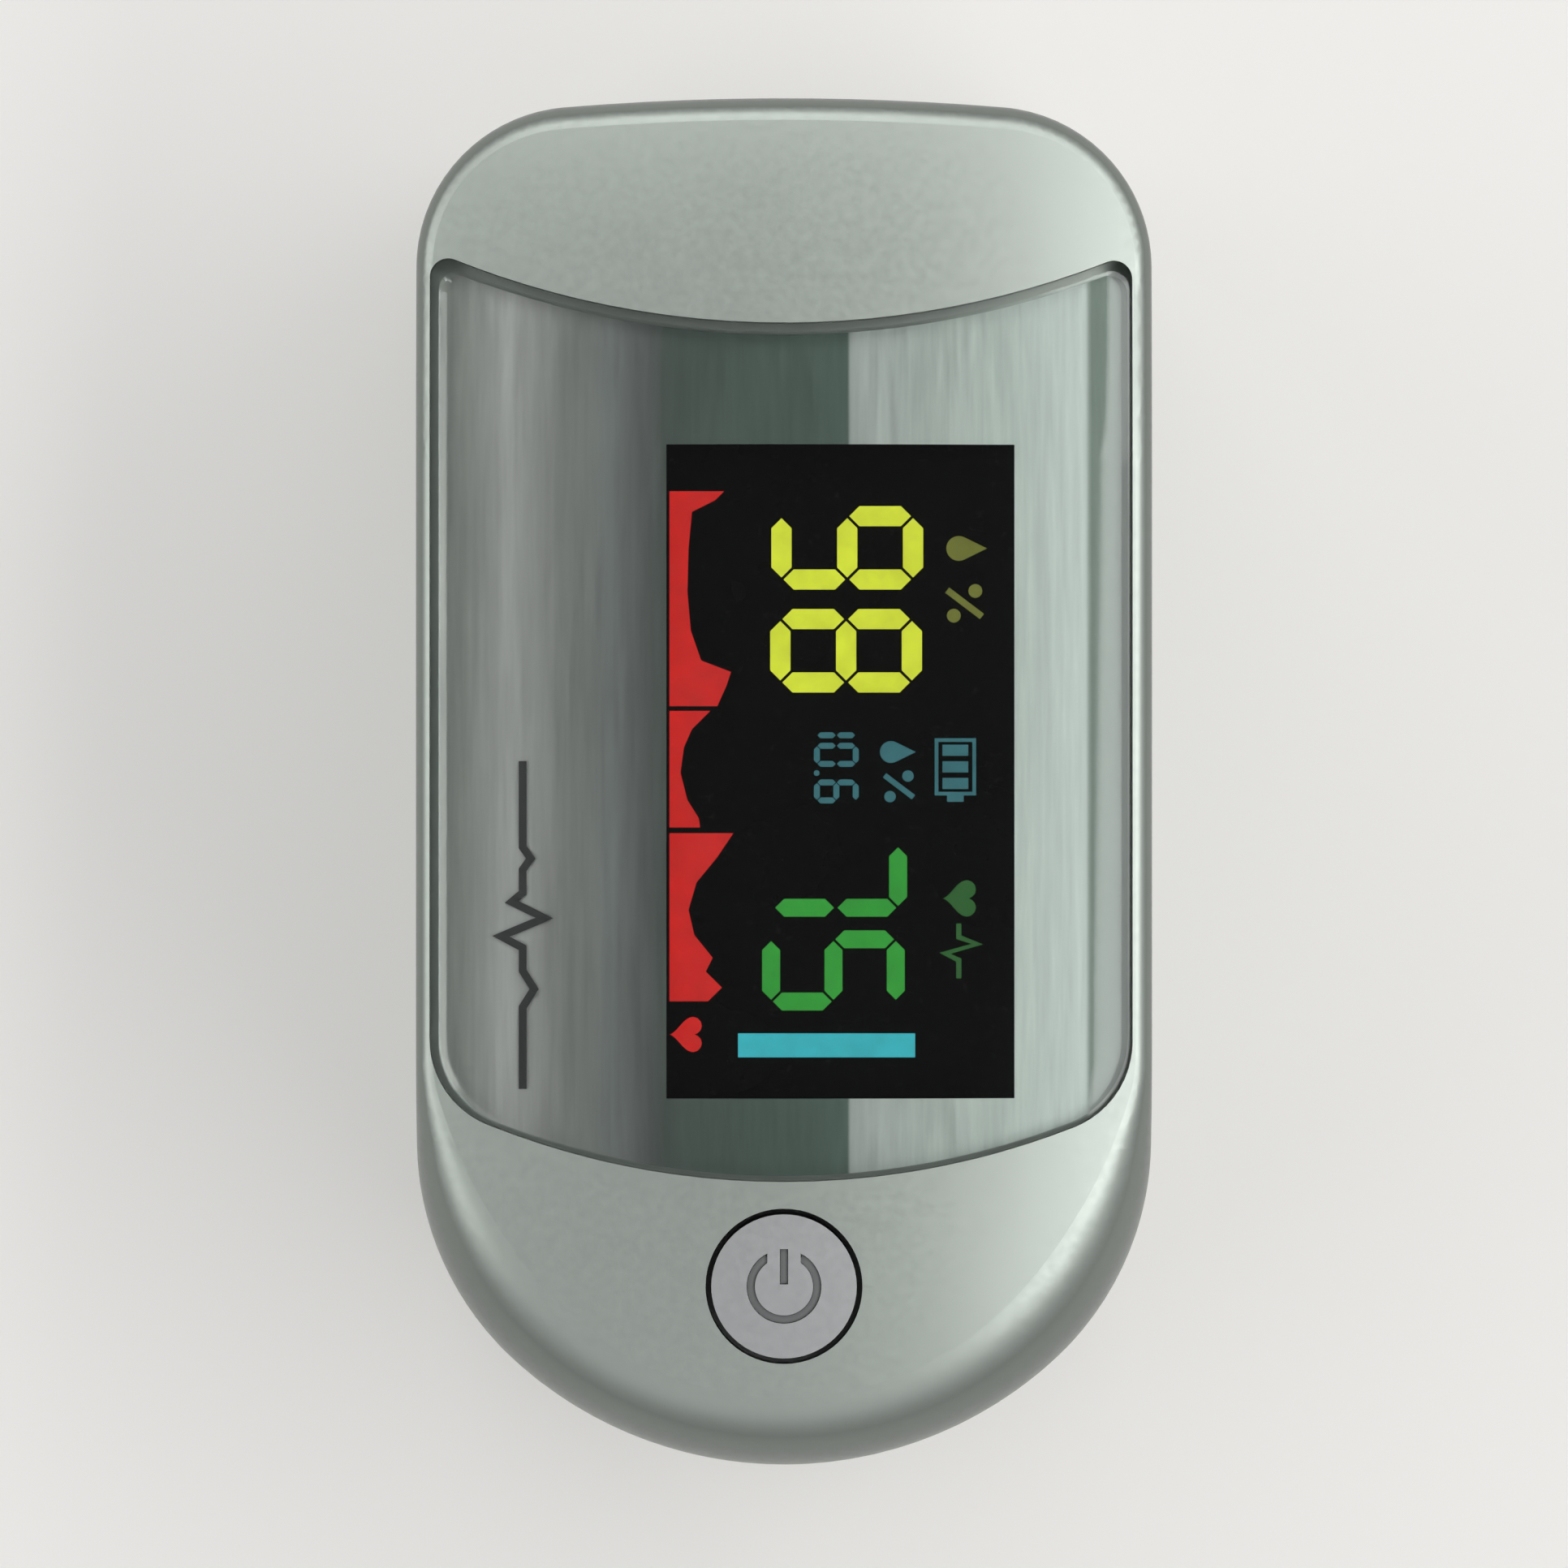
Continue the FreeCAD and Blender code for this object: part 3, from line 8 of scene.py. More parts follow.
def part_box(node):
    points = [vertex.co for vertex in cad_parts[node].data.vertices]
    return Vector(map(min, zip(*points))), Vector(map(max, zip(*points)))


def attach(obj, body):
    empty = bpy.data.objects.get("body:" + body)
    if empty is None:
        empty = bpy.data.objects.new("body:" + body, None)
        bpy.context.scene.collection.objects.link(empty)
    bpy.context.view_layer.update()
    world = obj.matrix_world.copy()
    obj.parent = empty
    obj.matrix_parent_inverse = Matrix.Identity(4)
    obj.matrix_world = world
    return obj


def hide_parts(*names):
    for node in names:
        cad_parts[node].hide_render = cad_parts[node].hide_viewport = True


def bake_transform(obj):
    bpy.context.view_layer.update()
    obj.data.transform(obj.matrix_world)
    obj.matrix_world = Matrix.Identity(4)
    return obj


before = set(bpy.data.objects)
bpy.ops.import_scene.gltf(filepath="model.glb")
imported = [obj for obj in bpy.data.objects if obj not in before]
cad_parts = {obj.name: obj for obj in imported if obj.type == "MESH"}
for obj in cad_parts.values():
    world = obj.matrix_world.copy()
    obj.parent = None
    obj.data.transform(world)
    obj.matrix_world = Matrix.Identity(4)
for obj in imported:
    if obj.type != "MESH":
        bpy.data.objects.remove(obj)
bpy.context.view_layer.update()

# Looks of the fingertip pulse oximeter: finishes for the CAD parts, the screen's glowing marks, the
# window's printed trace, ribbed finger pads, springs that part with the jaws, a floor, lights and a camera.
#
# Lengths are millimetres in the object's frame (+Z up, mouth towards -Y) and become metres in the mesh.
# Only the studio's are metres from the start.

MM = 0.001

# the roof, as in the CAD: crowned across, flat in the middle and sloping down at both ends
BODY_HEIGHT = 32.0
CROWN_R = 63.0
MOUTH_FLAT_Y, MOUTH_SLOPE_R = -14.0, 70.0
NOSE_FLAT_Y, NOSE_SLOPE_R = 12.0, 48.0

# the lit area of the screen, how far its marks stand off the glass, and how thick they are
SCREEN_WIDTH, SCREEN_LENGTH = 15.1, 28.5
MARK_LIFT, MARK_THICK = 0.02, 0.05

# the hinge line, the finger channel and its pads
HINGE_Y, HINGE_Z, RIM_GAP = 9.0, 18.5, 0.3
CHANNEL_HALF_WIDTH = 9.4
CHANNEL_RISE = {"upper": 4.6, "lower": 3.8}
PAD_FRONT_Y, PAD_END_Y, PAD_THICK = -29.3, 3.2, 1.45
OPTIC_Y, OPTIC_HOLE_R = -6.0, 3.0

# the jaw springs, and how far round the pin the upper leg's own stretch of coil goes
SPRING_X, SPRING_COIL_R, SPRING_WIRE_R = 6.0, 2.05, 0.3
SPRING_PITCH, SPRING_TURNS, SPRING_LEG, SPRING_LEG_DEG = 0.78, 3.8, 1.4, 36.0
SPRING_WRAP_DEG = 26.0

# the power button and the mark in its face
BUTTON_Y, ICON_R, ICON_LINE = 21.9, 1.45, 0.3
ICON_BREAK_DEG, ICON_SUNK, ICON_THICK = 30, 0.12, 0.1
ICON_BAR_PAST_RING, ICON_BAR_SHORT_OF_CENTRE = 0.18, 0.15

# the trace printed in the window
PRINT_X, PRINT_START_Y, PRINT_END_Y, PRINT_LINE = 11.35, -1.0, 13.3, 0.34
PRINT_SUNK, PRINT_THICK = 1.15, 0.04

# the studio, in metres: each softbox's place, its size across and up, and its brightness
FLOOR_HALF, FLOOR_DROP = 3.0, 0.05 * MM
LIT_POINT = (0, 0, 0.03)
SOFTBOXES = {
    "key": ((-0.50, 0.05, 0.62), (1.2, 0.36), 3.1),
    "fill": ((0.72, 0.0, 0.44), (1.1, 0.40), 1.8),
    "rear": ((0.0, -0.66, 0.60), (1.1, 0.40), 1.9),
    "front": ((0.0, 0.85, 0.50), (1.2, 0.35), 0.4),
}
LENS_MM, PICTURE_FILL = 250, 0.88


def corner(node, which):
    """A CAD node's lowest (0) or highest (1) corner, in millimetres."""
    return Vector(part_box(node)[which]) / MM


def centre(node):
    return (corner(node, 0) + corner(node, 1)) / 2


def roof(x, y, sunk=0.0):
    """The height of the roof's surface, or of one a little under it."""
    height = BODY_HEIGHT - sunk - CROWN_R + math.sqrt(CROWN_R**2 - x**2)
    if y < MOUTH_FLAT_Y:
        height -= MOUTH_SLOPE_R - math.sqrt(MOUTH_SLOPE_R**2 - (MOUTH_FLAT_Y - y) ** 2)
    if y > NOSE_FLAT_Y:
        height -= NOSE_SLOPE_R - math.sqrt(NOSE_SLOPE_R**2 - (y - NOSE_FLAT_Y) ** 2)
    return height


# ---- materials -----------------------------------------------------------------------------------------


def new_material(name):
    """A material with a Principled shader and object coordinates to build on."""
    material = bpy.data.materials.new(name)
    material.use_nodes = True
    tree = material.node_tree
    shader = tree.nodes["Principled BSDF"]
    place = tree.nodes.new("ShaderNodeTexCoord")
    return material, tree, shader, place.outputs["Object"]


def noise(tree, place, scale, detail=3.0):
    node = tree.nodes.new("ShaderNodeTexNoise")
    node.inputs["Scale"].default_value = scale
    node.inputs["Detail"].default_value = detail
    node.inputs["Roughness"].default_value = 0.55
    tree.links.new(place, node.inputs["Vector"])
    return node.outputs["Fac"]


def ramp(tree, fac, stops):
    """A colour for each value, from (position, colour) stops."""
    node = tree.nodes.new("ShaderNodeValToRGB")
    bands = node.color_ramp.elements
    while len(bands) < len(stops):
        bands.new(0.5)
    for band, (position, colour) in zip(bands, stops):
        band.position = position
        band.color = (*colour, 1.0)
    tree.links.new(fac, node.inputs["Fac"])
    return node.outputs["Color"]


def spread(tree, fac, low, high):
    """A value from 0.3 to 0.7 stretched to run from low to high."""
    node = tree.nodes.new("ShaderNodeMapRange")
    for socket, value in zip(("From Min", "From Max", "To Min", "To Max"), (0.3, 0.7, low, high)):
        node.inputs[socket].default_value = value
    tree.links.new(fac, node.inputs["Value"])
    return node.outputs["Result"]


def bump(tree, shader, fac, strength, distance):
    node = tree.nodes.new("ShaderNodeBump")
    node.inputs["Strength"].default_value = strength
    node.inputs["Distance"].default_value = distance
    tree.links.new(fac, node.inputs["Height"])
    tree.links.new(node.outputs["Normal"], shader.inputs["Normal"])


def shades(colour, spread_by):
    """The darker and the lighter of two tones round a colour."""
    return [tuple(min(1.0, c * (1 + s)) for c in colour) for s in (-spread_by, spread_by)]


def finish(name, colour, rough, vary=0.05, patch=90.0, grain=2500.0, grain_depth=0.006, **sockets):
    """A moulded or painted surface: a slow drift of tone and gloss, with a fine grain in its relief."""
    material, tree, shader, place = new_material(name)
    slow = noise(tree, place, patch)
    fine = noise(tree, place, grain, detail=4.0)
    dark, light = shades(colour, vary)
    tree.links.new(ramp(tree, slow, [(0.3, dark), (0.7, light)]), shader.inputs["Base Color"])
    tree.links.new(spread(tree, fine, rough * 0.88, rough * 1.12), shader.inputs["Roughness"])
    bump(tree, shader, fine, 0.12, grain_depth * MM)
    for socket, value in sockets.items():
        shader.inputs[socket.replace("_", " ")].default_value = value
    return material


def glow(name, colour, strength):
    """A lit mark, a little brighter in places, over a surface that is dark when it is off."""
    material, tree, shader, place = new_material(name)
    dark, light = shades(colour, 0.10)
    tree.links.new(ramp(tree, noise(tree, place, 900.0), [(0.3, dark), (0.7, light)]),
                   shader.inputs["Emission Color"])
    off, less_off = shades((0.012, 0.012, 0.012), 0.2)
    tree.links.new(ramp(tree, noise(tree, place, 500.0), [(0.3, off), (0.7, less_off)]),
                   shader.inputs["Base Color"])
    shader.inputs["Emission Strength"].default_value = strength
    shader.inputs["Roughness"].default_value = 0.6
    return material


def along_axis(tree, place, axis, low, high):
    """How far along an axis a point is, from 0 at low to 1 at high, which are in millimetres."""
    split = tree.nodes.new("ShaderNodeSeparateXYZ")
    tree.links.new(place, split.inputs["Vector"])
    along = tree.nodes.new("ShaderNodeMapRange")
    along.inputs["From Min"].default_value = low * MM
    along.inputs["From Max"].default_value = high * MM
    tree.links.new(split.outputs[axis], along.inputs["Value"])
    return along.outputs["Result"]


def multiplied(tree, first, second):
    """One colour times another."""
    node = tree.nodes.new("ShaderNodeMix")
    node.data_type = "RGBA"
    node.blend_type = "MULTIPLY"
    node.inputs["Factor"].default_value = 1.0
    colours = [socket for socket in node.inputs if socket.type == "RGBA"]
    tree.links.new(first, colours[0])
    tree.links.new(second, colours[1])
    return next(socket for socket in node.outputs if socket.type == "RGBA")


def pearl_paint_and_rim_shade(name, colour, rough, flop_and_shade):
    """A silvery paint that darkens as it turns away from the eye: partly a metallic paint's flop, partly
    painted shade that darkens the rims of the sides and nose. The last argument lists (turn, share of the
    colour).
    """
    material, tree, shader, place = new_material(name)
    weight = tree.nodes.new("ShaderNodeLayerWeight")
    weight.inputs["Blend"].default_value = 0.5
    stops = [(turn, tuple(c * share for c in colour)) for turn, share in flop_and_shade]
    # painted shade: the colour drops towards the rims, where the surface turns away from the eye, on top of
    # the paint's own flop
    flop_and_rim_shade = ramp(tree, weight.outputs["Facing"], stops)
    drift = ramp(tree, noise(tree, place, 70.0), [(0.3, (0.94, 0.94, 0.94)), (0.7, (1.0, 1.0, 1.0))])
    tree.links.new(multiplied(tree, flop_and_rim_shade, drift), shader.inputs["Base Color"])
    fine = noise(tree, place, 2600.0, detail=4.0)
    tree.links.new(spread(tree, fine, rough * 0.9, rough * 1.1), shader.inputs["Roughness"])
    bump(tree, shader, fine, 0.12, 0.005 * MM)
    shader.inputs["Metallic"].default_value = 0.55
    shader.inputs["Coat Weight"].default_value = 0.15
    shader.inputs["Coat Roughness"].default_value = 0.3
    return material


def film_print_and_reflection(name, bands):
    """A satin film in bands across the body, brushed along it: a printed grey gradient, with painted
    reflections in its bright bands. bands lists (x, colour).
    """
    material, tree, shader, place = new_material(name)
    low, high = -16.0, 16.0
    across = along_axis(tree, place, "X", low, high)
    # painted reflection: the ramp's bright bands stand in for the window's reflection of the lights; the
    # rest is a printed gradient
    print_and_reflection = ramp(tree, across, [((x - low) / (high - low), colour) for x, colour in bands])
    stretch = tree.nodes.new("ShaderNodeMapping")
    stretch.inputs["Scale"].default_value = (1.0, 0.06, 1.0)
    tree.links.new(place, stretch.inputs["Vector"])
    lines = noise(tree, stretch.outputs["Vector"], 2600.0)
    brushed = ramp(tree, lines, [(0.3, (0.84, 0.84, 0.84)), (0.7, (1.0, 1.0, 1.0))])
    tree.links.new(multiplied(tree, print_and_reflection, brushed), shader.inputs["Base Color"])
    tree.links.new(spread(tree, lines, 0.34, 0.46), shader.inputs["Roughness"])
    shader.inputs["Metallic"].default_value = 0.35
    return material


def cell_sleeve(name):
    """A cell's printed sleeve: a dark body, a copper band and bare metal at both ends."""
    material, tree, shader, place = new_material(name)
    along = along_axis(tree, place, "Y", corner("battery_left", 0).y, corner("battery_left", 1).y)
    steel, dark, copper = (0.60, 0.60, 0.58), (0.020, 0.022, 0.028), (0.55, 0.26, 0.10)
    bands = ramp(tree, along, [(0.0, steel), (0.035, dark), (0.24, copper), (0.26, dark), (0.955, steel)])
    tree.nodes[-1].color_ramp.interpolation = "CONSTANT"
    tree.links.new(bands, shader.inputs["Base Color"])
    shader.inputs["Metallic"].default_value = 0.7
    tree.links.new(spread(tree, noise(tree, place, 700.0), 0.25, 0.36), shader.inputs["Roughness"])
    return material


def circuit_board(name):
    """Green solder mask over copper tracks."""
    material, tree, shader, place = new_material(name)
    tracks = tree.nodes.new("ShaderNodeTexBrick")
    tracks.offset = 0.5
    for socket, value in (("Scale", 260.0), ("Mortar Size", 0.035), ("Mortar Smooth", 0.2), ("Bias", 0.0)):
        tracks.inputs[socket].default_value = value
    tracks.inputs["Color1"].default_value = (0.012, 0.110, 0.045, 1)
    tracks.inputs["Color2"].default_value = (0.010, 0.090, 0.038, 1)
    tracks.inputs["Mortar"].default_value = (0.030, 0.200, 0.080, 1)
    tree.links.new(place, tracks.inputs["Vector"])
    tree.links.new(tracks.outputs["Color"], shader.inputs["Base Color"])
    tree.links.new(spread(tree, noise(tree, place, 1500.0), 0.28, 0.40), shader.inputs["Roughness"])
    bump(tree, shader, tracks.outputs["Fac"], 0.3, 0.02 * MM)
    return material


def metal(name, colour, rough):
    """Drawn or stamped metal with fine brush lines along one way."""
    material, tree, shader, place = new_material(name)
    stretch = tree.nodes.new("ShaderNodeMapping")
    stretch.inputs["Scale"].default_value = (1.0, 14.0, 14.0)
    tree.links.new(place, stretch.inputs["Vector"])
    lines = noise(tree, stretch.outputs["Vector"], 500.0, detail=5.0)
    dark, light = shades(colour, 0.10)
    tree.links.new(ramp(tree, lines, [(0.3, dark), (0.7, light)]), shader.inputs["Base Color"])
    tree.links.new(spread(tree, lines, rough * 0.75, rough * 1.3), shader.inputs["Roughness"])
    bump(tree, shader, lines, 0.15, 0.004 * MM)
    shader.inputs["Metallic"].default_value = 1.0
    return material


SILVER = (0.52, 0.575, 0.525)
# How much of the paint's colour is left as the surface turns from the eye: partly a metallic flop, partly
# painted shade for the dark rims of the sides and nose
PAINT_FLOP_AND_RIM_SHADE = [(0.0, 1.0), (0.06, 0.97), (0.18, 0.72), (0.32, 0.42), (0.60, 0.35), (1.0, 0.35)]
# The window film's tones across the body: the bright band from x -13.1 to -2.9 and the light strip round x
# 12 are painted reflections of the lights; the darker tones between are a printed grey gradient
FILM_PRINT_AND_REFLECTION = [(-13.3, (0.26, 0.33, 0.28)), (-13.1, (0.84, 0.93, 0.88)), (-9.0, (0.84, 0.95, 0.87)),
              (-2.9, (0.78, 0.84, 0.79)), (-2.75, (0.175, 0.255, 0.215)), (5.0, (0.175, 0.220, 0.195)),
              (6.0, (0.24, 0.25, 0.245)), (7.5, (0.40, 0.43, 0.41)), (9.5, (0.47, 0.485, 0.455)),
              (12.0, (0.82, 0.83, 0.80)), (13.8, (0.50, 0.52, 0.48))]
MATERIALS = {
    "case": pearl_paint_and_rim_shade("case", SILVER, 0.38, PAINT_FLOP_AND_RIM_SHADE),
    "button": pearl_paint_and_rim_shade("button", (0.56, 0.57, 0.57), 0.42, PAINT_FLOP_AND_RIM_SHADE),
    "window": finish("window", (0.97, 0.99, 0.98), 0.03, vary=0.005, grain_depth=0.0005,
                     Transmission_Weight=1.0, IOR=1.47, Specular_IOR_Level=0.2),
    "film": film_print_and_reflection("film", FILM_PRINT_AND_REFLECTION),
    "screen": finish("screen", (0.003, 0.003, 0.003), 0.25, vary=0.2, Specular_IOR_Level=0.1),
    "dark_plastic": finish("dark_plastic", (0.020, 0.021, 0.022), 0.42, vary=0.15),
    "frame": finish("frame", (0.50, 0.52, 0.50), 0.48, vary=0.04),
    "silicone": finish("silicone", (0.030, 0.033, 0.034), 0.58, vary=0.16, patch=200.0, grain=3500.0,
                       grain_depth=0.02, Sheen_Weight=0.15, Sheen_Roughness=0.4),
    "lens": finish("lens", (0.95, 0.96, 0.97), 0.05, vary=0.01, Transmission_Weight=1.0, IOR=1.5),
    "ceramic": finish("ceramic", (0.30, 0.19, 0.10), 0.35, vary=0.12, patch=400.0),
    "emitter": finish("emitter", (0.45, 0.03, 0.03), 0.22, vary=0.10, patch=400.0),
    "detector": finish("detector", (0.02, 0.022, 0.03), 0.15, vary=0.2, patch=400.0),
    "flex": finish("flex", (0.42, 0.19, 0.035), 0.30, vary=0.08, patch=300.0),
    "steel": metal("steel", (0.58, 0.58, 0.57), 0.26),
    "cell": cell_sleeve("cell"),
    "board": circuit_board("board"),
    "print": finish("print", (0.045, 0.050, 0.048), 0.5, vary=0.10),
    "icon": finish("icon", (0.16, 0.165, 0.165), 0.45, vary=0.1),
    "yellow": glow("yellow", (0.64, 0.72, 0.03), 1.0),
    "green": glow("green", (0.02, 0.29, 0.025), 1.0),
    "red": glow("red", (0.54, 0.006, 0.004), 1.0),
    "cyan": glow("cyan", (0.03, 0.40, 0.46), 1.0),
    "teal": glow("teal", (0.04, 0.20, 0.23), 0.65),
    "dim_yellow": glow("dim_yellow", (0.30, 0.33, 0.04), 0.45),
    "dim_green": glow("dim_green", (0.03, 0.20, 0.03), 0.5),
}

NODE_MATERIALS = {
    "case": ["top_cover", "bottom_shell", "battery_door"],
    "button": ["button_cap"],
    "window": ["display_window"],
    "film": ["window_mask"],
    "screen": ["display_panel"],
    "dark_plastic": ["display_carrier", "controller_chip", "tact_switch", "switch_plunger"],
    "frame": ["upper_frame", "lower_frame"],
    "lens": ["emitter_lens", "detector_lens"],
    "ceramic": ["board_passives"],
    "emitter": ["emitter"],
    "detector": ["detector"],
    "board": ["main_board", "detector_board"],
    "cell": ["battery_left", "battery_right"],
    "steel": ["upper_screws", "lower_screws", "hinge_pin", "contact_bridge", "contact_positive",
              "contact_negative", "contact_springs"],
}


def dress(thing, material):
    """Gives every face of an object one material."""
    if not thing.material_slots:
        thing.data.materials.append(MATERIALS[material])
    for place in thing.material_slots:
        place.material = MATERIALS[material]


# ---- making pieces -------------------------------------------------------------------------------------


def piece(name, mesh, body, material):
    """Links a finished bmesh in millimetres as a piece that rides on a body."""
    mesh.normal_update()
    data = bpy.data.meshes.new(name)
    bmesh.ops.scale(mesh, vec=(MM, MM, MM), verts=mesh.verts)
    mesh.to_mesh(data)
    mesh.free()
    thing = bpy.data.objects.new(name, data)
    bpy.context.scene.collection.objects.link(thing)
    dress(thing, material)
    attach(thing, body)
    return thing


def smooth(thing, degrees=40):
    """Shades an object smoothly, except across edges sharper than an angle."""
    for face in thing.data.polygons:
        face.use_smooth = True
    thing.data.set_sharp_from_angle(angle=math.radians(degrees))
    return thing


def add_plate(mesh, outline, under, thick):
    """A thin closed plate over an outline. under(x, y) is the height of the surface that it lies on."""
    low = [mesh.verts.new((x, y, under(x, y))) for x, y in outline]
    high = [mesh.verts.new((x, y, under(x, y) + thick)) for x, y in outline]
    mesh.faces.new(high)
    mesh.faces.new(low[::-1])
    for index in range(len(outline)):
        after = (index + 1) % len(outline)
        mesh.faces.new((low[index], low[after], high[after], high[index]))


def plates(name, outlines, under, thick, body, material):
    """One piece made of a thin plate over each outline."""
    mesh = bmesh.new()
    for outline in outlines:
        add_plate(mesh, outline, under, thick)
    bmesh.ops.recalc_face_normals(mesh, faces=mesh.faces)
    return piece(name, mesh, body, material)


def stroke(points, width):
    """The outline of a line of even width through points."""
    sides = ([], [])
    for index, here in enumerate(points):
        before = Vector(points[max(index - 1, 0)])
        after = Vector(points[min(index + 1, len(points) - 1)])
        here = Vector(here)
        ways = [w.normalized() for w in (here - before, after - here) if w.length > 0]
        along = sum(ways, Vector((0, 0))).normalized()
        reach = width / 2 / max(0.45, along.dot(ways[0]))
        out = Vector((-along.y, along.x)) * reach
        sides[0].append(tuple(here + out))
        sides[1].append(tuple(here - out))
    return sides[0] + sides[1][::-1]


def circle(x, y, radius, count):
    turns = [2 * math.pi * index / count for index in range(count)]
    return [(x + radius * math.cos(t), y + radius * math.sin(t)) for t in turns]


# ---- the screen's marks --------------------------------------------------------------------------------
# Marks are laid out in reading directions: u runs along the digits (+Y) and v up them (-X), from the
# corner of the lit area that is lowest in both.

SEGMENTS = {"0": "abcdef", "1": "bc", "5": "acdfg", "6": "acdefg", "7": "abc", "8": "abcdefg", "9": "abcdfg"}


def digit(number, u, v, width, height, line):
    """The lit segments of a seven-segment digit, as pointed bars with thin gaps between."""
    half, gap = line / 2, line * 0.10
    left, right, low, middle, high = half, width - half, half, height / 2, height - half
    ends = {"a": (left, high, right, high), "b": (right, high, right, middle),
            "c": (right, middle, right, low), "d": (left, low, right, low),
            "e": (left, middle, left, low), "f": (left, high, left, middle),
            "g": (left, middle, right, middle)}
    bars = []
    for name in SEGMENTS[number]:
        start, end = Vector(ends[name][:2]), Vector(ends[name][2:])
        along = (end - start).normalized()
        across = Vector((-along.y, along.x)) * half
        start, end = start + along * gap, end - along * gap
        bar = [start, start + along * half + across, end - along * half + across, end,
               end - along * half - across, start + along * half - across]
        bars.append([(u + p.x, v + p.y) for p in bar])
    return bars


def digits(places, width, height, line):
    """Digits of one size. places lists (number, u, v)."""
    return [bar for number, u, v in places for bar in digit(number, u, v, width, height, line)]


def heart(u, v, size):
    count, scale = 28, size / 32
    turns = [2 * math.pi * index / count for index in range(count)]
    return [(u + scale * 16 * math.sin(t) ** 3,
             v + scale * (13 * math.cos(t) - 5 * math.cos(2 * t) - 2 * math.cos(3 * t) - math.cos(4 * t)))
            for t in turns]


def drop(u, v, size):
    """A drop standing on its round end."""
    bowl_r, tip = size * 0.32, size * 0.72
    turns = [math.radians(a) for a in range(150, 391, 16)]
    return [*((u + bowl_r * math.cos(t), v + bowl_r * math.sin(t)) for t in turns), (u, v + tip)]


def percent(u, v, size):
    """Two dots either side of a slanting bar."""
    side, up, dot_r, corners = size * 0.3, size * 0.26, size * 0.17, 12
    lean, reach, line = size * 0.32, size * 0.42, size * 0.16
    return [circle(u - side, v + up, dot_r, corners), circle(u + side, v - up, dot_r, corners),
            stroke([(u - lean, v - reach), (u + lean, v + reach)], line)]


def rectangle(u, v, width, height):
    return [(u, v), (u + width, v), (u + width, v + height), (u, v + height)]


def battery_mark(u, v, length, height):
    """A battery's outline with three bars of charge."""
    line, gap, nub, charges = 0.16, 0.12, 0.28, 3
    inset, inside = line + 0.18, height - 2 * line
    bars = [rectangle(u, v, length, line), rectangle(u, v + height - line, length, line),
            rectangle(u, v + line, line, inside), rectangle(u + length - line, v + line, line, inside),
            rectangle(u + length, v + height * 0.3, nub, height * 0.4)]
    step = (length - 2 * line) / charges
    for index in range(charges):
        bars.append(rectangle(u + line + index * step + gap, v + inset, step - 2 * gap, height - 2 * inset))
    return bars


def pulse_wave():
    """The pulse's moving trace, filled down to the edge of the screen: three beats, split by thin gaps."""
    beats = [
        [(2.0, 2.5), (2.4, 2.1), (2.9, 1.1), (4.5, 0.95), (6.4, 0.9), (8.1, 1.05), (9.4, 1.5), (9.9, 2.8),
         (10.5, 2.6), (11.4, 2.2)],
        [(11.6, 1.9), (12.4, 1.1), (13.2, 0.75), (14.3, 0.6), (15.5, 0.9), (16.3, 1.4), (16.7, 1.45)],
        [(16.95, 2.9), (18.0, 2.2), (19.1, 1.3), (20.3, 0.95), (21.4, 1.2), (22.4, 2.0), (23.0, 1.7),
         (23.7, 2.4), (24.3, 1.8)],
    ]
    edge = 0.12
    return [[(beat[0][0], edge), *beat, (beat[-1][0], edge)] for beat in beats]


def screen_marks():
    """Every lit mark on the screen, one piece for each colour."""
    middle = centre("display_panel")
    start_x, start_y = middle.x + SCREEN_WIDTH / 2, middle.y - SCREEN_LENGTH / 2
    top = corner("display_panel", 1).z + MARK_LIFT
    large, medium, small = (3.65, 6.6, 0.88), (3.5, 6.2, 0.78), (1.05, 1.95, 0.26)
    small_digits = digits([("1", 11.75, 6.4), ("0", 13.0, 6.4), ("6", 14.6, 6.4)], *small)
    point = circle(14.32, 6.52, 0.13, 10)
    beat = [(20.9, 12.7), (21.5, 12.7), (21.8, 13.5), (22.2, 12.1), (22.5, 12.7), (23.3, 12.7)]
    marks = {
        "oxygen_reading": ("yellow", digits([("9", 2.65, 4.55), ("8", 7.15, 4.5)], *large)),
        "pulse_reading": ("green", digits([("7", 17.1, 4.25), ("5", 21.2, 4.15)], *medium)),
        "pulse_trace": ("red", pulse_wave() + [heart(25.75, 0.95, 1.55)]),
        "level_bar": ("cyan", [rectangle(25.7, 3.1, 1.05, 7.7)]),
        "small_marks": ("teal", small_digits + [point] + percent(14.9, 10.1, 1.5) + [drop(13.4, 9.75, 1.5)]
                        + battery_mark(12.8, 11.65, 2.5, 1.8)),
        "oxygen_label": ("dim_yellow", [drop(4.5, 12.7, 1.7)] + percent(6.9, 12.95, 1.8)),
        "pulse_label": ("dim_green", [heart(19.8, 12.85, 1.6), stroke(beat, 0.22)]),
    }
    for name, (colour, outlines) in marks.items():
        placed = [[(start_x - v, start_y + u) for u, v in outline] for outline in outlines]
        plates(name, placed, lambda x, y: top, MARK_THICK, "upper_jaw", colour)


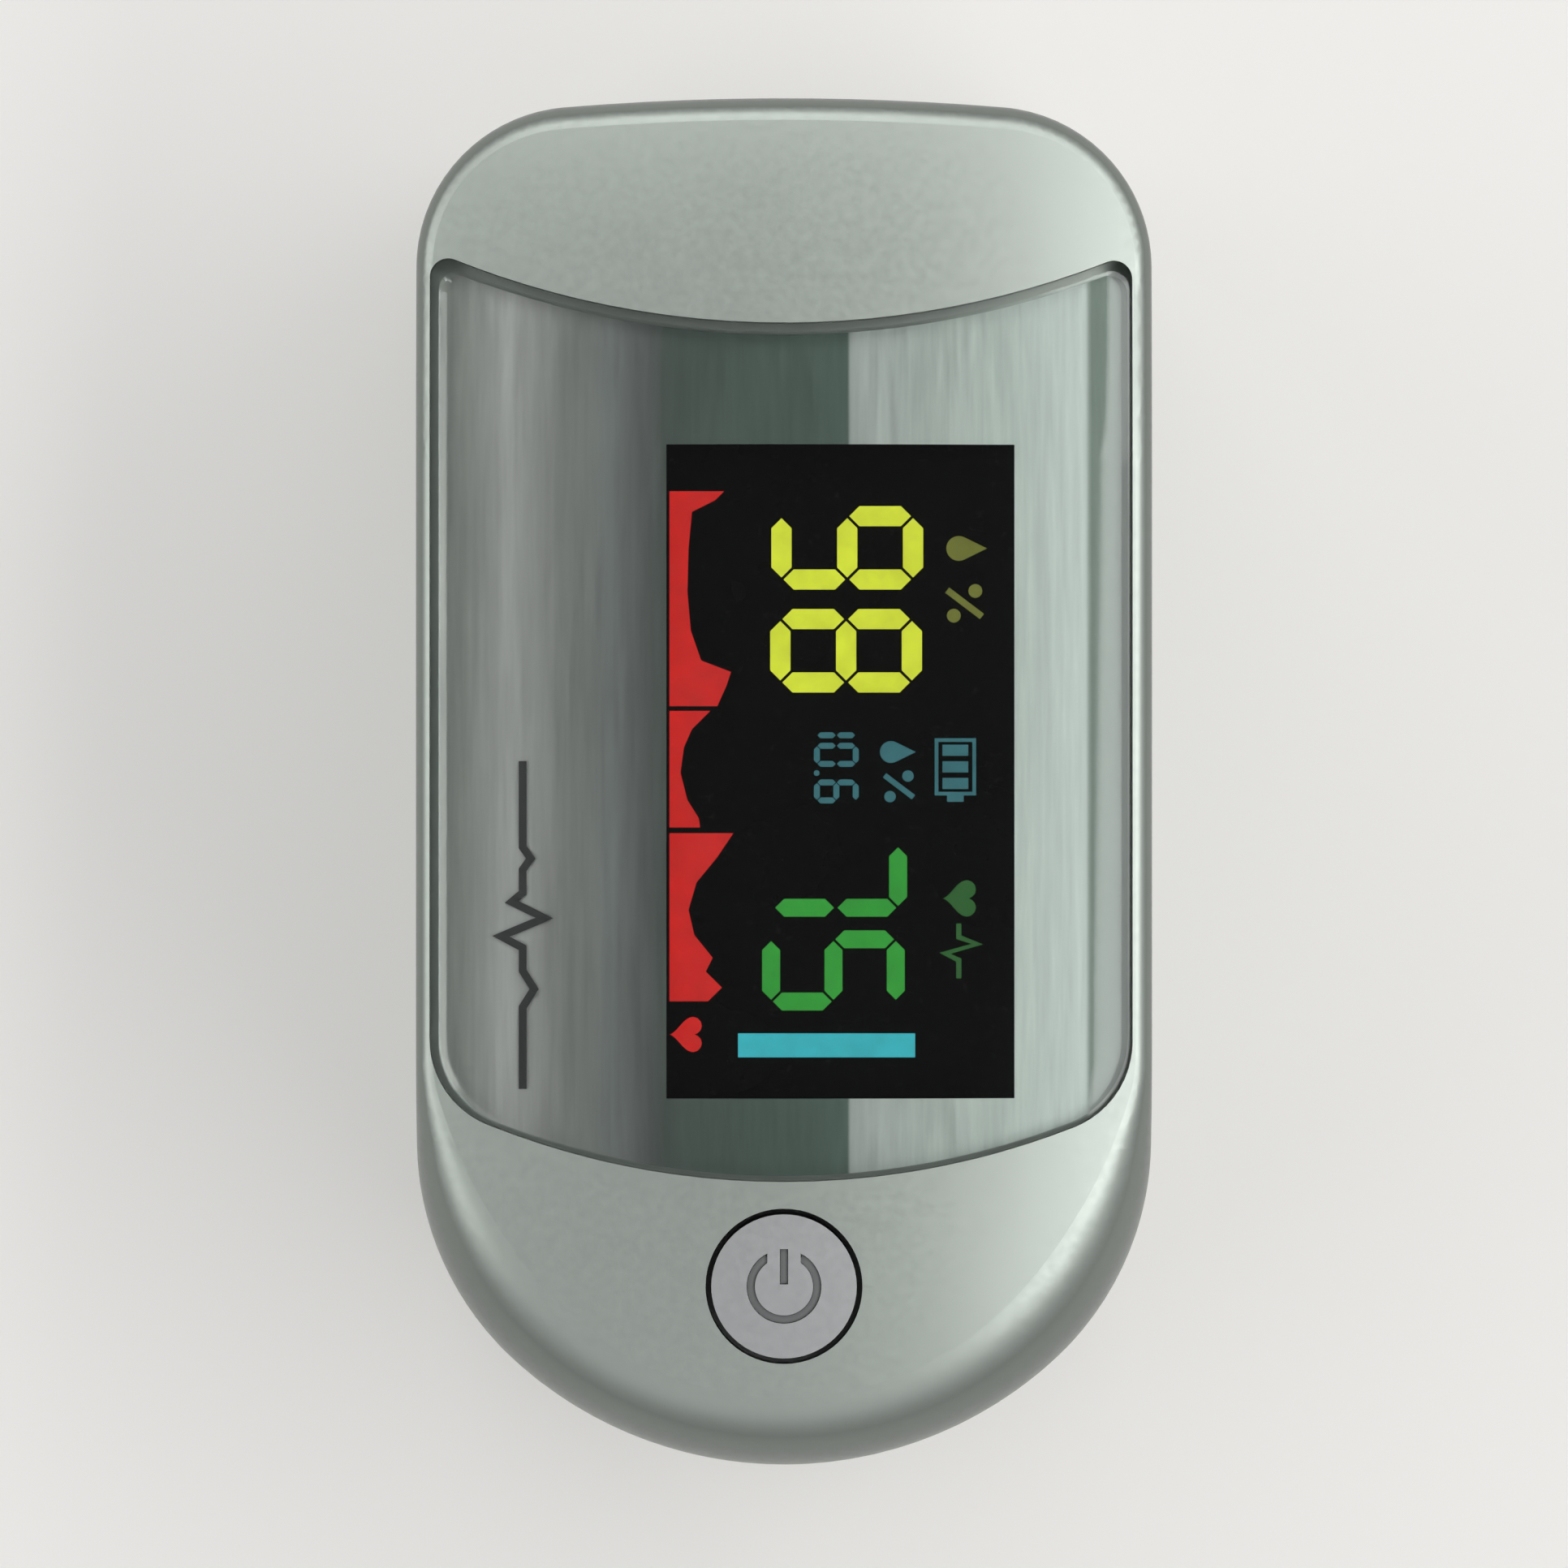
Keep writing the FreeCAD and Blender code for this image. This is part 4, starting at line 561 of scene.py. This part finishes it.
def window_print():
    """A heart trace printed inside the window, beside the screen."""
    x, middle = PRINT_X, (PRINT_START_Y + PRINT_END_Y) / 2
    shape = [(0, -3.4), (-0.35, -2.9), (0, -2.4), (0, -1.4), (0.475, -1.0), (-0.95, -0.3), (0.95, 0.5),
             (0, 1.0), (0, 2.0), (-0.5, 2.8), (0, 3.6)]
    trace = [(x, PRINT_START_Y), *((x + side, middle + along) for side, along in shape), (x, PRINT_END_Y)]
    fine, short = [], 0.5
    for first, last in zip(trace, trace[1:]):
        count = max(1, round(math.dist(first, last) / short))
        fine += [tuple(Vector(first).lerp(Vector(last), index / count)) for index in range(count)]
    fine.append(trace[-1])
    plates("window_trace", [stroke(fine, PRINT_LINE)], lambda px, py: roof(px, py, PRINT_SUNK), PRINT_THICK,
           "upper_jaw", "print")


def button_mark():
    """The power mark's dark fill, which lies in the groove of the button's face."""
    first, last = 270 + ICON_BREAK_DEG, 270 + 360 - ICON_BREAK_DEG
    turns = [math.radians(a) for a in range(first, last + 1, 10)]
    ring = [(ICON_R * math.cos(t), BUTTON_Y + ICON_R * math.sin(t)) for t in turns]
    bar = [(0.0, BUTTON_Y - ICON_R - ICON_BAR_PAST_RING), (0.0, BUTTON_Y - ICON_BAR_SHORT_OF_CENTRE)]
    plates("power_mark", [stroke(ring, ICON_LINE), stroke(bar, ICON_LINE)],
           lambda x, y: roof(x, y, ICON_SUNK), ICON_THICK, "power_button", "icon")


# ---- soft pads, springs and ribbon ---------------------------------------------------------------------


def pad_stations():
    """Places along a pad, each with how far the mouth flares and a rib stands out there.

    Both are millimetres. The ribs fade out towards the light's hole.
    """
    steps, flare_length, flare = 132, 1.4, 1.1
    rib_pitch, rib_height, ribs_start, ribs_end, bare_ring = 2.2, 0.16, -26.5, 1.5, 0.4
    stations = []
    for step in range(steps + 1):
        y = PAD_FRONT_Y + (PAD_END_Y - PAD_FRONT_Y) * step / steps
        mouth = max(0.0, 1 - (y - PAD_FRONT_Y) / flare_length)
        wave = max(0.0, math.sin(2 * math.pi * y / rib_pitch)) ** 2
        rib = rib_height * wave if ribs_start < y < ribs_end else 0.0
        clear = min(1.0, max(0.0, abs(y - OPTIC_Y) - OPTIC_HOLE_R - bare_ring))
        stations.append((y, flare * mouth**2, rib * clear))
    return stations


def finger_pad(side):
    """A ribbed silicone trough with a rounded lip, a closed end and a hole for the light."""
    sign = 1 if side == "upper" else -1
    rise = CHANNEL_RISE[side]
    columns, merge_under, sharp_deg = 40, 0.0005, 50
    mesh = bmesh.new()
    inner, outer = [], []
    for rings, deep in ((inner, 0.0), (outer, PAD_THICK)):
        for y, flare, rib in pad_stations():
            out = flare - rib if rings is inner else deep
            row = []
            for column in range(columns + 1):
                turn = math.pi * column / columns
                x = (CHANNEL_HALF_WIDTH + out) * math.cos(turn)
                z = (rise + out) * math.sin(turn)
                row.append(mesh.verts.new((x, y, HINGE_Z + sign * max(z, RIM_GAP))))
            rings.append(row)
    back = [mesh.verts.new((v.co.x, PAD_END_Y + PAD_THICK, v.co.z)) for v in outer[-1]]
    strips = [*zip(inner, inner[1:]), *zip(outer, outer[1:]), (inner[0], outer[0]), (outer[-1], back)]
    for first, last in strips:
        for index in range(columns):
            mesh.faces.new((first[index], first[index + 1], last[index + 1], last[index]))
    for near, far, near_out, far_out in zip(inner, inner[1:], outer, outer[1:]):
        for index in (0, columns):
            mesh.faces.new((near[index], far[index], far_out[index], near_out[index]))
    mesh.faces.new(inner[-1])
    mesh.faces.new(back[::-1])
    mesh.faces.new((inner[-1][0], inner[-1][-1], outer[-1][-1], back[-1], back[0], outer[-1][0]))
    bmesh.ops.remove_doubles(mesh, verts=mesh.verts, dist=merge_under)
    bmesh.ops.recalc_face_normals(mesh, faces=mesh.faces)
    pad = smooth(piece(f"{side}_soft_pad", mesh, f"{side}_jaw", "silicone"), sharp_deg)
    cut_light_hole(pad, sign)
    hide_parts(f"{side}_pad")


def cut_light_hole(pad, sign):
    """Bores the pad's round hole, and keeps only the result."""
    middle_z, depth = HINGE_Z + sign * 6.5, 12.0
    mesh = bmesh.new()
    bmesh.ops.create_cone(mesh, cap_ends=True, segments=64, radius1=OPTIC_HOLE_R * MM,
                          radius2=OPTIC_HOLE_R * MM, depth=depth * MM,
                          matrix=Matrix.Translation((0, OPTIC_Y * MM, middle_z * MM)))
    data = bpy.data.meshes.new("bore")
    mesh.to_mesh(data)
    mesh.free()
    bore = bpy.data.objects.new("bore", data)
    bpy.context.scene.collection.objects.link(bore)
    cut = pad.modifiers.new("light_hole", "BOOLEAN")
    cut.operation = "DIFFERENCE"
    cut.solver = "EXACT"
    cut.object = bore
    bpy.context.view_layer.update()
    result = bpy.data.meshes.new_from_object(pad.evaluated_get(bpy.context.evaluated_depsgraph_get()))
    pad.modifiers.remove(cut)
    pad.data = result
    bpy.data.objects.remove(bore)


def add_wire(mesh, points, radius):
    """A round wire along points, with capped ends."""
    sides, rings, normal = 14, [], None
    for index, here in enumerate(points):
        ahead = points[min(index + 1, len(points) - 1)] - points[max(index - 1, 0)]
        along = ahead.normalized()
        if normal is None:
            normal = along.orthogonal().normalized()
        normal = (normal - along * normal.dot(along)).normalized()
        other = along.cross(normal)
        turns = [2 * math.pi * k / sides for k in range(sides)]
        spokes = [normal * math.cos(t) + other * math.sin(t) for t in turns]
        rings.append([mesh.verts.new(here + spoke * radius) for spoke in spokes])
    for first, last in zip(rings, rings[1:]):
        for index in range(sides):
            after = (index + 1) % sides
            mesh.faces.new((first[index], first[after], last[after], last[index]))
    mesh.faces.new(rings[0][::-1])
    mesh.faces.new(rings[-1])


def wire(name, points, radius, body):
    """A steel wire as a piece that rides on a body."""
    mesh = bmesh.new()
    add_wire(mesh, points, radius)
    bmesh.ops.recalc_face_normals(mesh, faces=mesh.faces)
    return smooth(piece(name, mesh, body, "steel"))


def jaw_spring(side, way):
    """A torsion spring on the pin, whose coil and one leg stay below while the other leg goes up.

    The upper leg has the first stretch of the coil too, so that it slides round the pin as the jaws open.
    """
    start_x = SPRING_X - SPRING_PITCH * SPRING_TURNS / 2
    leg_start, leg_end = SPRING_COIL_R + 0.3, SPRING_COIL_R + SPRING_LEG
    upper_turn, wrap = math.radians(SPRING_LEG_DEG), math.radians(SPRING_WRAP_DEG)
    span = 2 * math.pi * SPRING_TURNS
    coil_steps, arc_steps, leg_steps = 96, 8, 4
    upper_r = SPRING_WIRE_R + 0.02

    def spot(turn, radius):
        x = start_x + SPRING_PITCH * (turn - upper_turn) / (2 * math.pi)
        return Vector((way * x, HINGE_Y + radius * math.cos(turn), HINGE_Z + radius * math.sin(turn)))

    def leg(turn):
        return [spot(turn, leg_start + (leg_end - leg_start) * k / leg_steps) for k in range(leg_steps + 1)]

    coil = [spot(upper_turn + span * k / coil_steps, SPRING_COIL_R) for k in range(coil_steps + 1)]
    lower = wire(f"jaw_spring_{side}", coil + leg(upper_turn + span), SPRING_WIRE_R, "lower_jaw")
    arc = [spot(upper_turn + wrap * (1 - k / arc_steps), SPRING_COIL_R) for k in range(arc_steps + 1)]
    wire(f"jaw_spring_leg_{side}", arc + leg(upper_turn), upper_r, "upper_jaw")
    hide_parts(f"torsion_spring_{side}")


def ribbon():
    """The flat cable across the hinge, which bends between the jaws."""
    low, high = corner("ribbon_cable", 0), corner("ribbon_cable", 1)
    half, thick = (high.x - low.x) / 2, 0.22
    front, back = low.y + 0.15, high.y - 0.2
    path = [(front, low.z), (front, 17.0), (front + 0.6, HINGE_Z), (front + 0.2, 20.2), (front, 22.0),
            (front, 24.6), (back, 25.5), (back, high.z)]
    mesh = bmesh.new()
    outline = stroke(path, thick)
    sides = [[mesh.verts.new((x, y, z)) for y, z in outline] for x in (-half, half)]
    count = len(outline)
    for index in range(count):
        after = (index + 1) % count
        mesh.faces.new((sides[0][index], sides[0][after], sides[1][after], sides[1][index]))
    half_count = count // 2
    for side in sides:
        for index in range(half_count - 1):
            mesh.faces.new((side[index], side[index + 1], side[count - 2 - index], side[count - 1 - index]))
    bmesh.ops.recalc_face_normals(mesh, faces=mesh.faces)
    bmesh.ops.scale(mesh, vec=(MM, MM, MM), verts=mesh.verts)
    data = bpy.data.meshes.new("flex_ribbon")
    mesh.to_mesh(data)
    mesh.free()
    strip = bpy.data.objects.new("flex_ribbon", data)
    bpy.context.scene.collection.objects.link(strip)
    dress(strip, "flex")
    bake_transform(strip)
    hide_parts("ribbon_cable")


# ---- the studio ----------------------------------------------------------------------------------------


def softbox(name, place, size, radiance):
    """A rectangular light that faces the object, with an even brightness over its face."""
    data = bpy.data.lights.new(name, "AREA")
    data.shape = "RECTANGLE"
    data.size, data.size_y = size
    data.energy = radiance * math.pi * size[0] * size[1]
    lamp = bpy.data.objects.new(name, data)
    bpy.context.scene.collection.objects.link(lamp)
    lamp.location = place
    away = Vector(place) - Vector(LIT_POINT)
    lamp.rotation_euler = away.to_track_quat("Z", "Y").to_euler()


def room():
    """Dim walls that are darkest overhead, so that the window doesn't mirror them over the screen."""
    world = bpy.data.worlds.new("studio")
    bpy.context.scene.world = world
    world.use_nodes = True
    tree = world.node_tree
    place = tree.nodes.new("ShaderNodeTexCoord").outputs["Generated"]
    split = tree.nodes.new("ShaderNodeSeparateXYZ")
    tree.links.new(place, split.inputs["Vector"])
    walls = ramp(tree, split.outputs["Z"], [(0.0, (0.30, 0.30, 0.30)), (0.35, (0.33, 0.33, 0.34)),
                                            (0.85, (0.20, 0.20, 0.21)), (0.96, (0.07, 0.07, 0.07))])
    tree.links.new(walls, tree.nodes["Background"].inputs["Color"])


def pale_floor():
    """A pale table that glows faintly, a hair under the object's base."""
    mesh = bmesh.new()
    bmesh.ops.create_grid(mesh, x_segments=8, y_segments=8, size=FLOOR_HALF)
    data = bpy.data.meshes.new("floor")
    mesh.to_mesh(data)
    mesh.free()
    floor = bpy.data.objects.new("floor", data)
    bpy.context.scene.collection.objects.link(floor)
    floor.location.z = -FLOOR_DROP
    data.materials.append(finish("floor", (0.64, 0.63, 0.61), 0.75, vary=0.01, patch=3.0, grain=900.0,
                                 grain_depth=0.02, Emission_Color=(0.86, 0.85, 0.83, 1),
                                 Emission_Strength=0.32))


def studio():
    bpy.context.scene.view_settings.view_transform = "Standard"
    room()
    for name, (place, size, radiance) in SOFTBOXES.items():
        softbox(name, place, size, radiance)
    pale_floor()


def camera():
    """Straight down on the roof, with the mouth at the top of the picture."""
    data = bpy.data.cameras.new("camera")
    data.lens = LENS_MM
    length = corner("bottom_shell", 1).y - corner("bottom_shell", 0).y
    distance = length / PICTURE_FILL * MM * data.lens / data.sensor_width
    eye = bpy.data.objects.new("camera", data)
    bpy.context.scene.collection.objects.link(eye)
    eye.location = (0, 0, BODY_HEIGHT * MM + distance)
    eye.rotation_euler = (0, 0, math.pi)
    data.clip_end = 20
    bpy.context.scene.camera = eye


for material, names in NODE_MATERIALS.items():
    for name in names:
        dress(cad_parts[name], material)
screen_marks()
window_print()
button_mark()
for side in ("upper", "lower"):
    finger_pad(side)
jaw_spring("left", 1)
jaw_spring("right", -1)
ribbon()
studio()
camera()
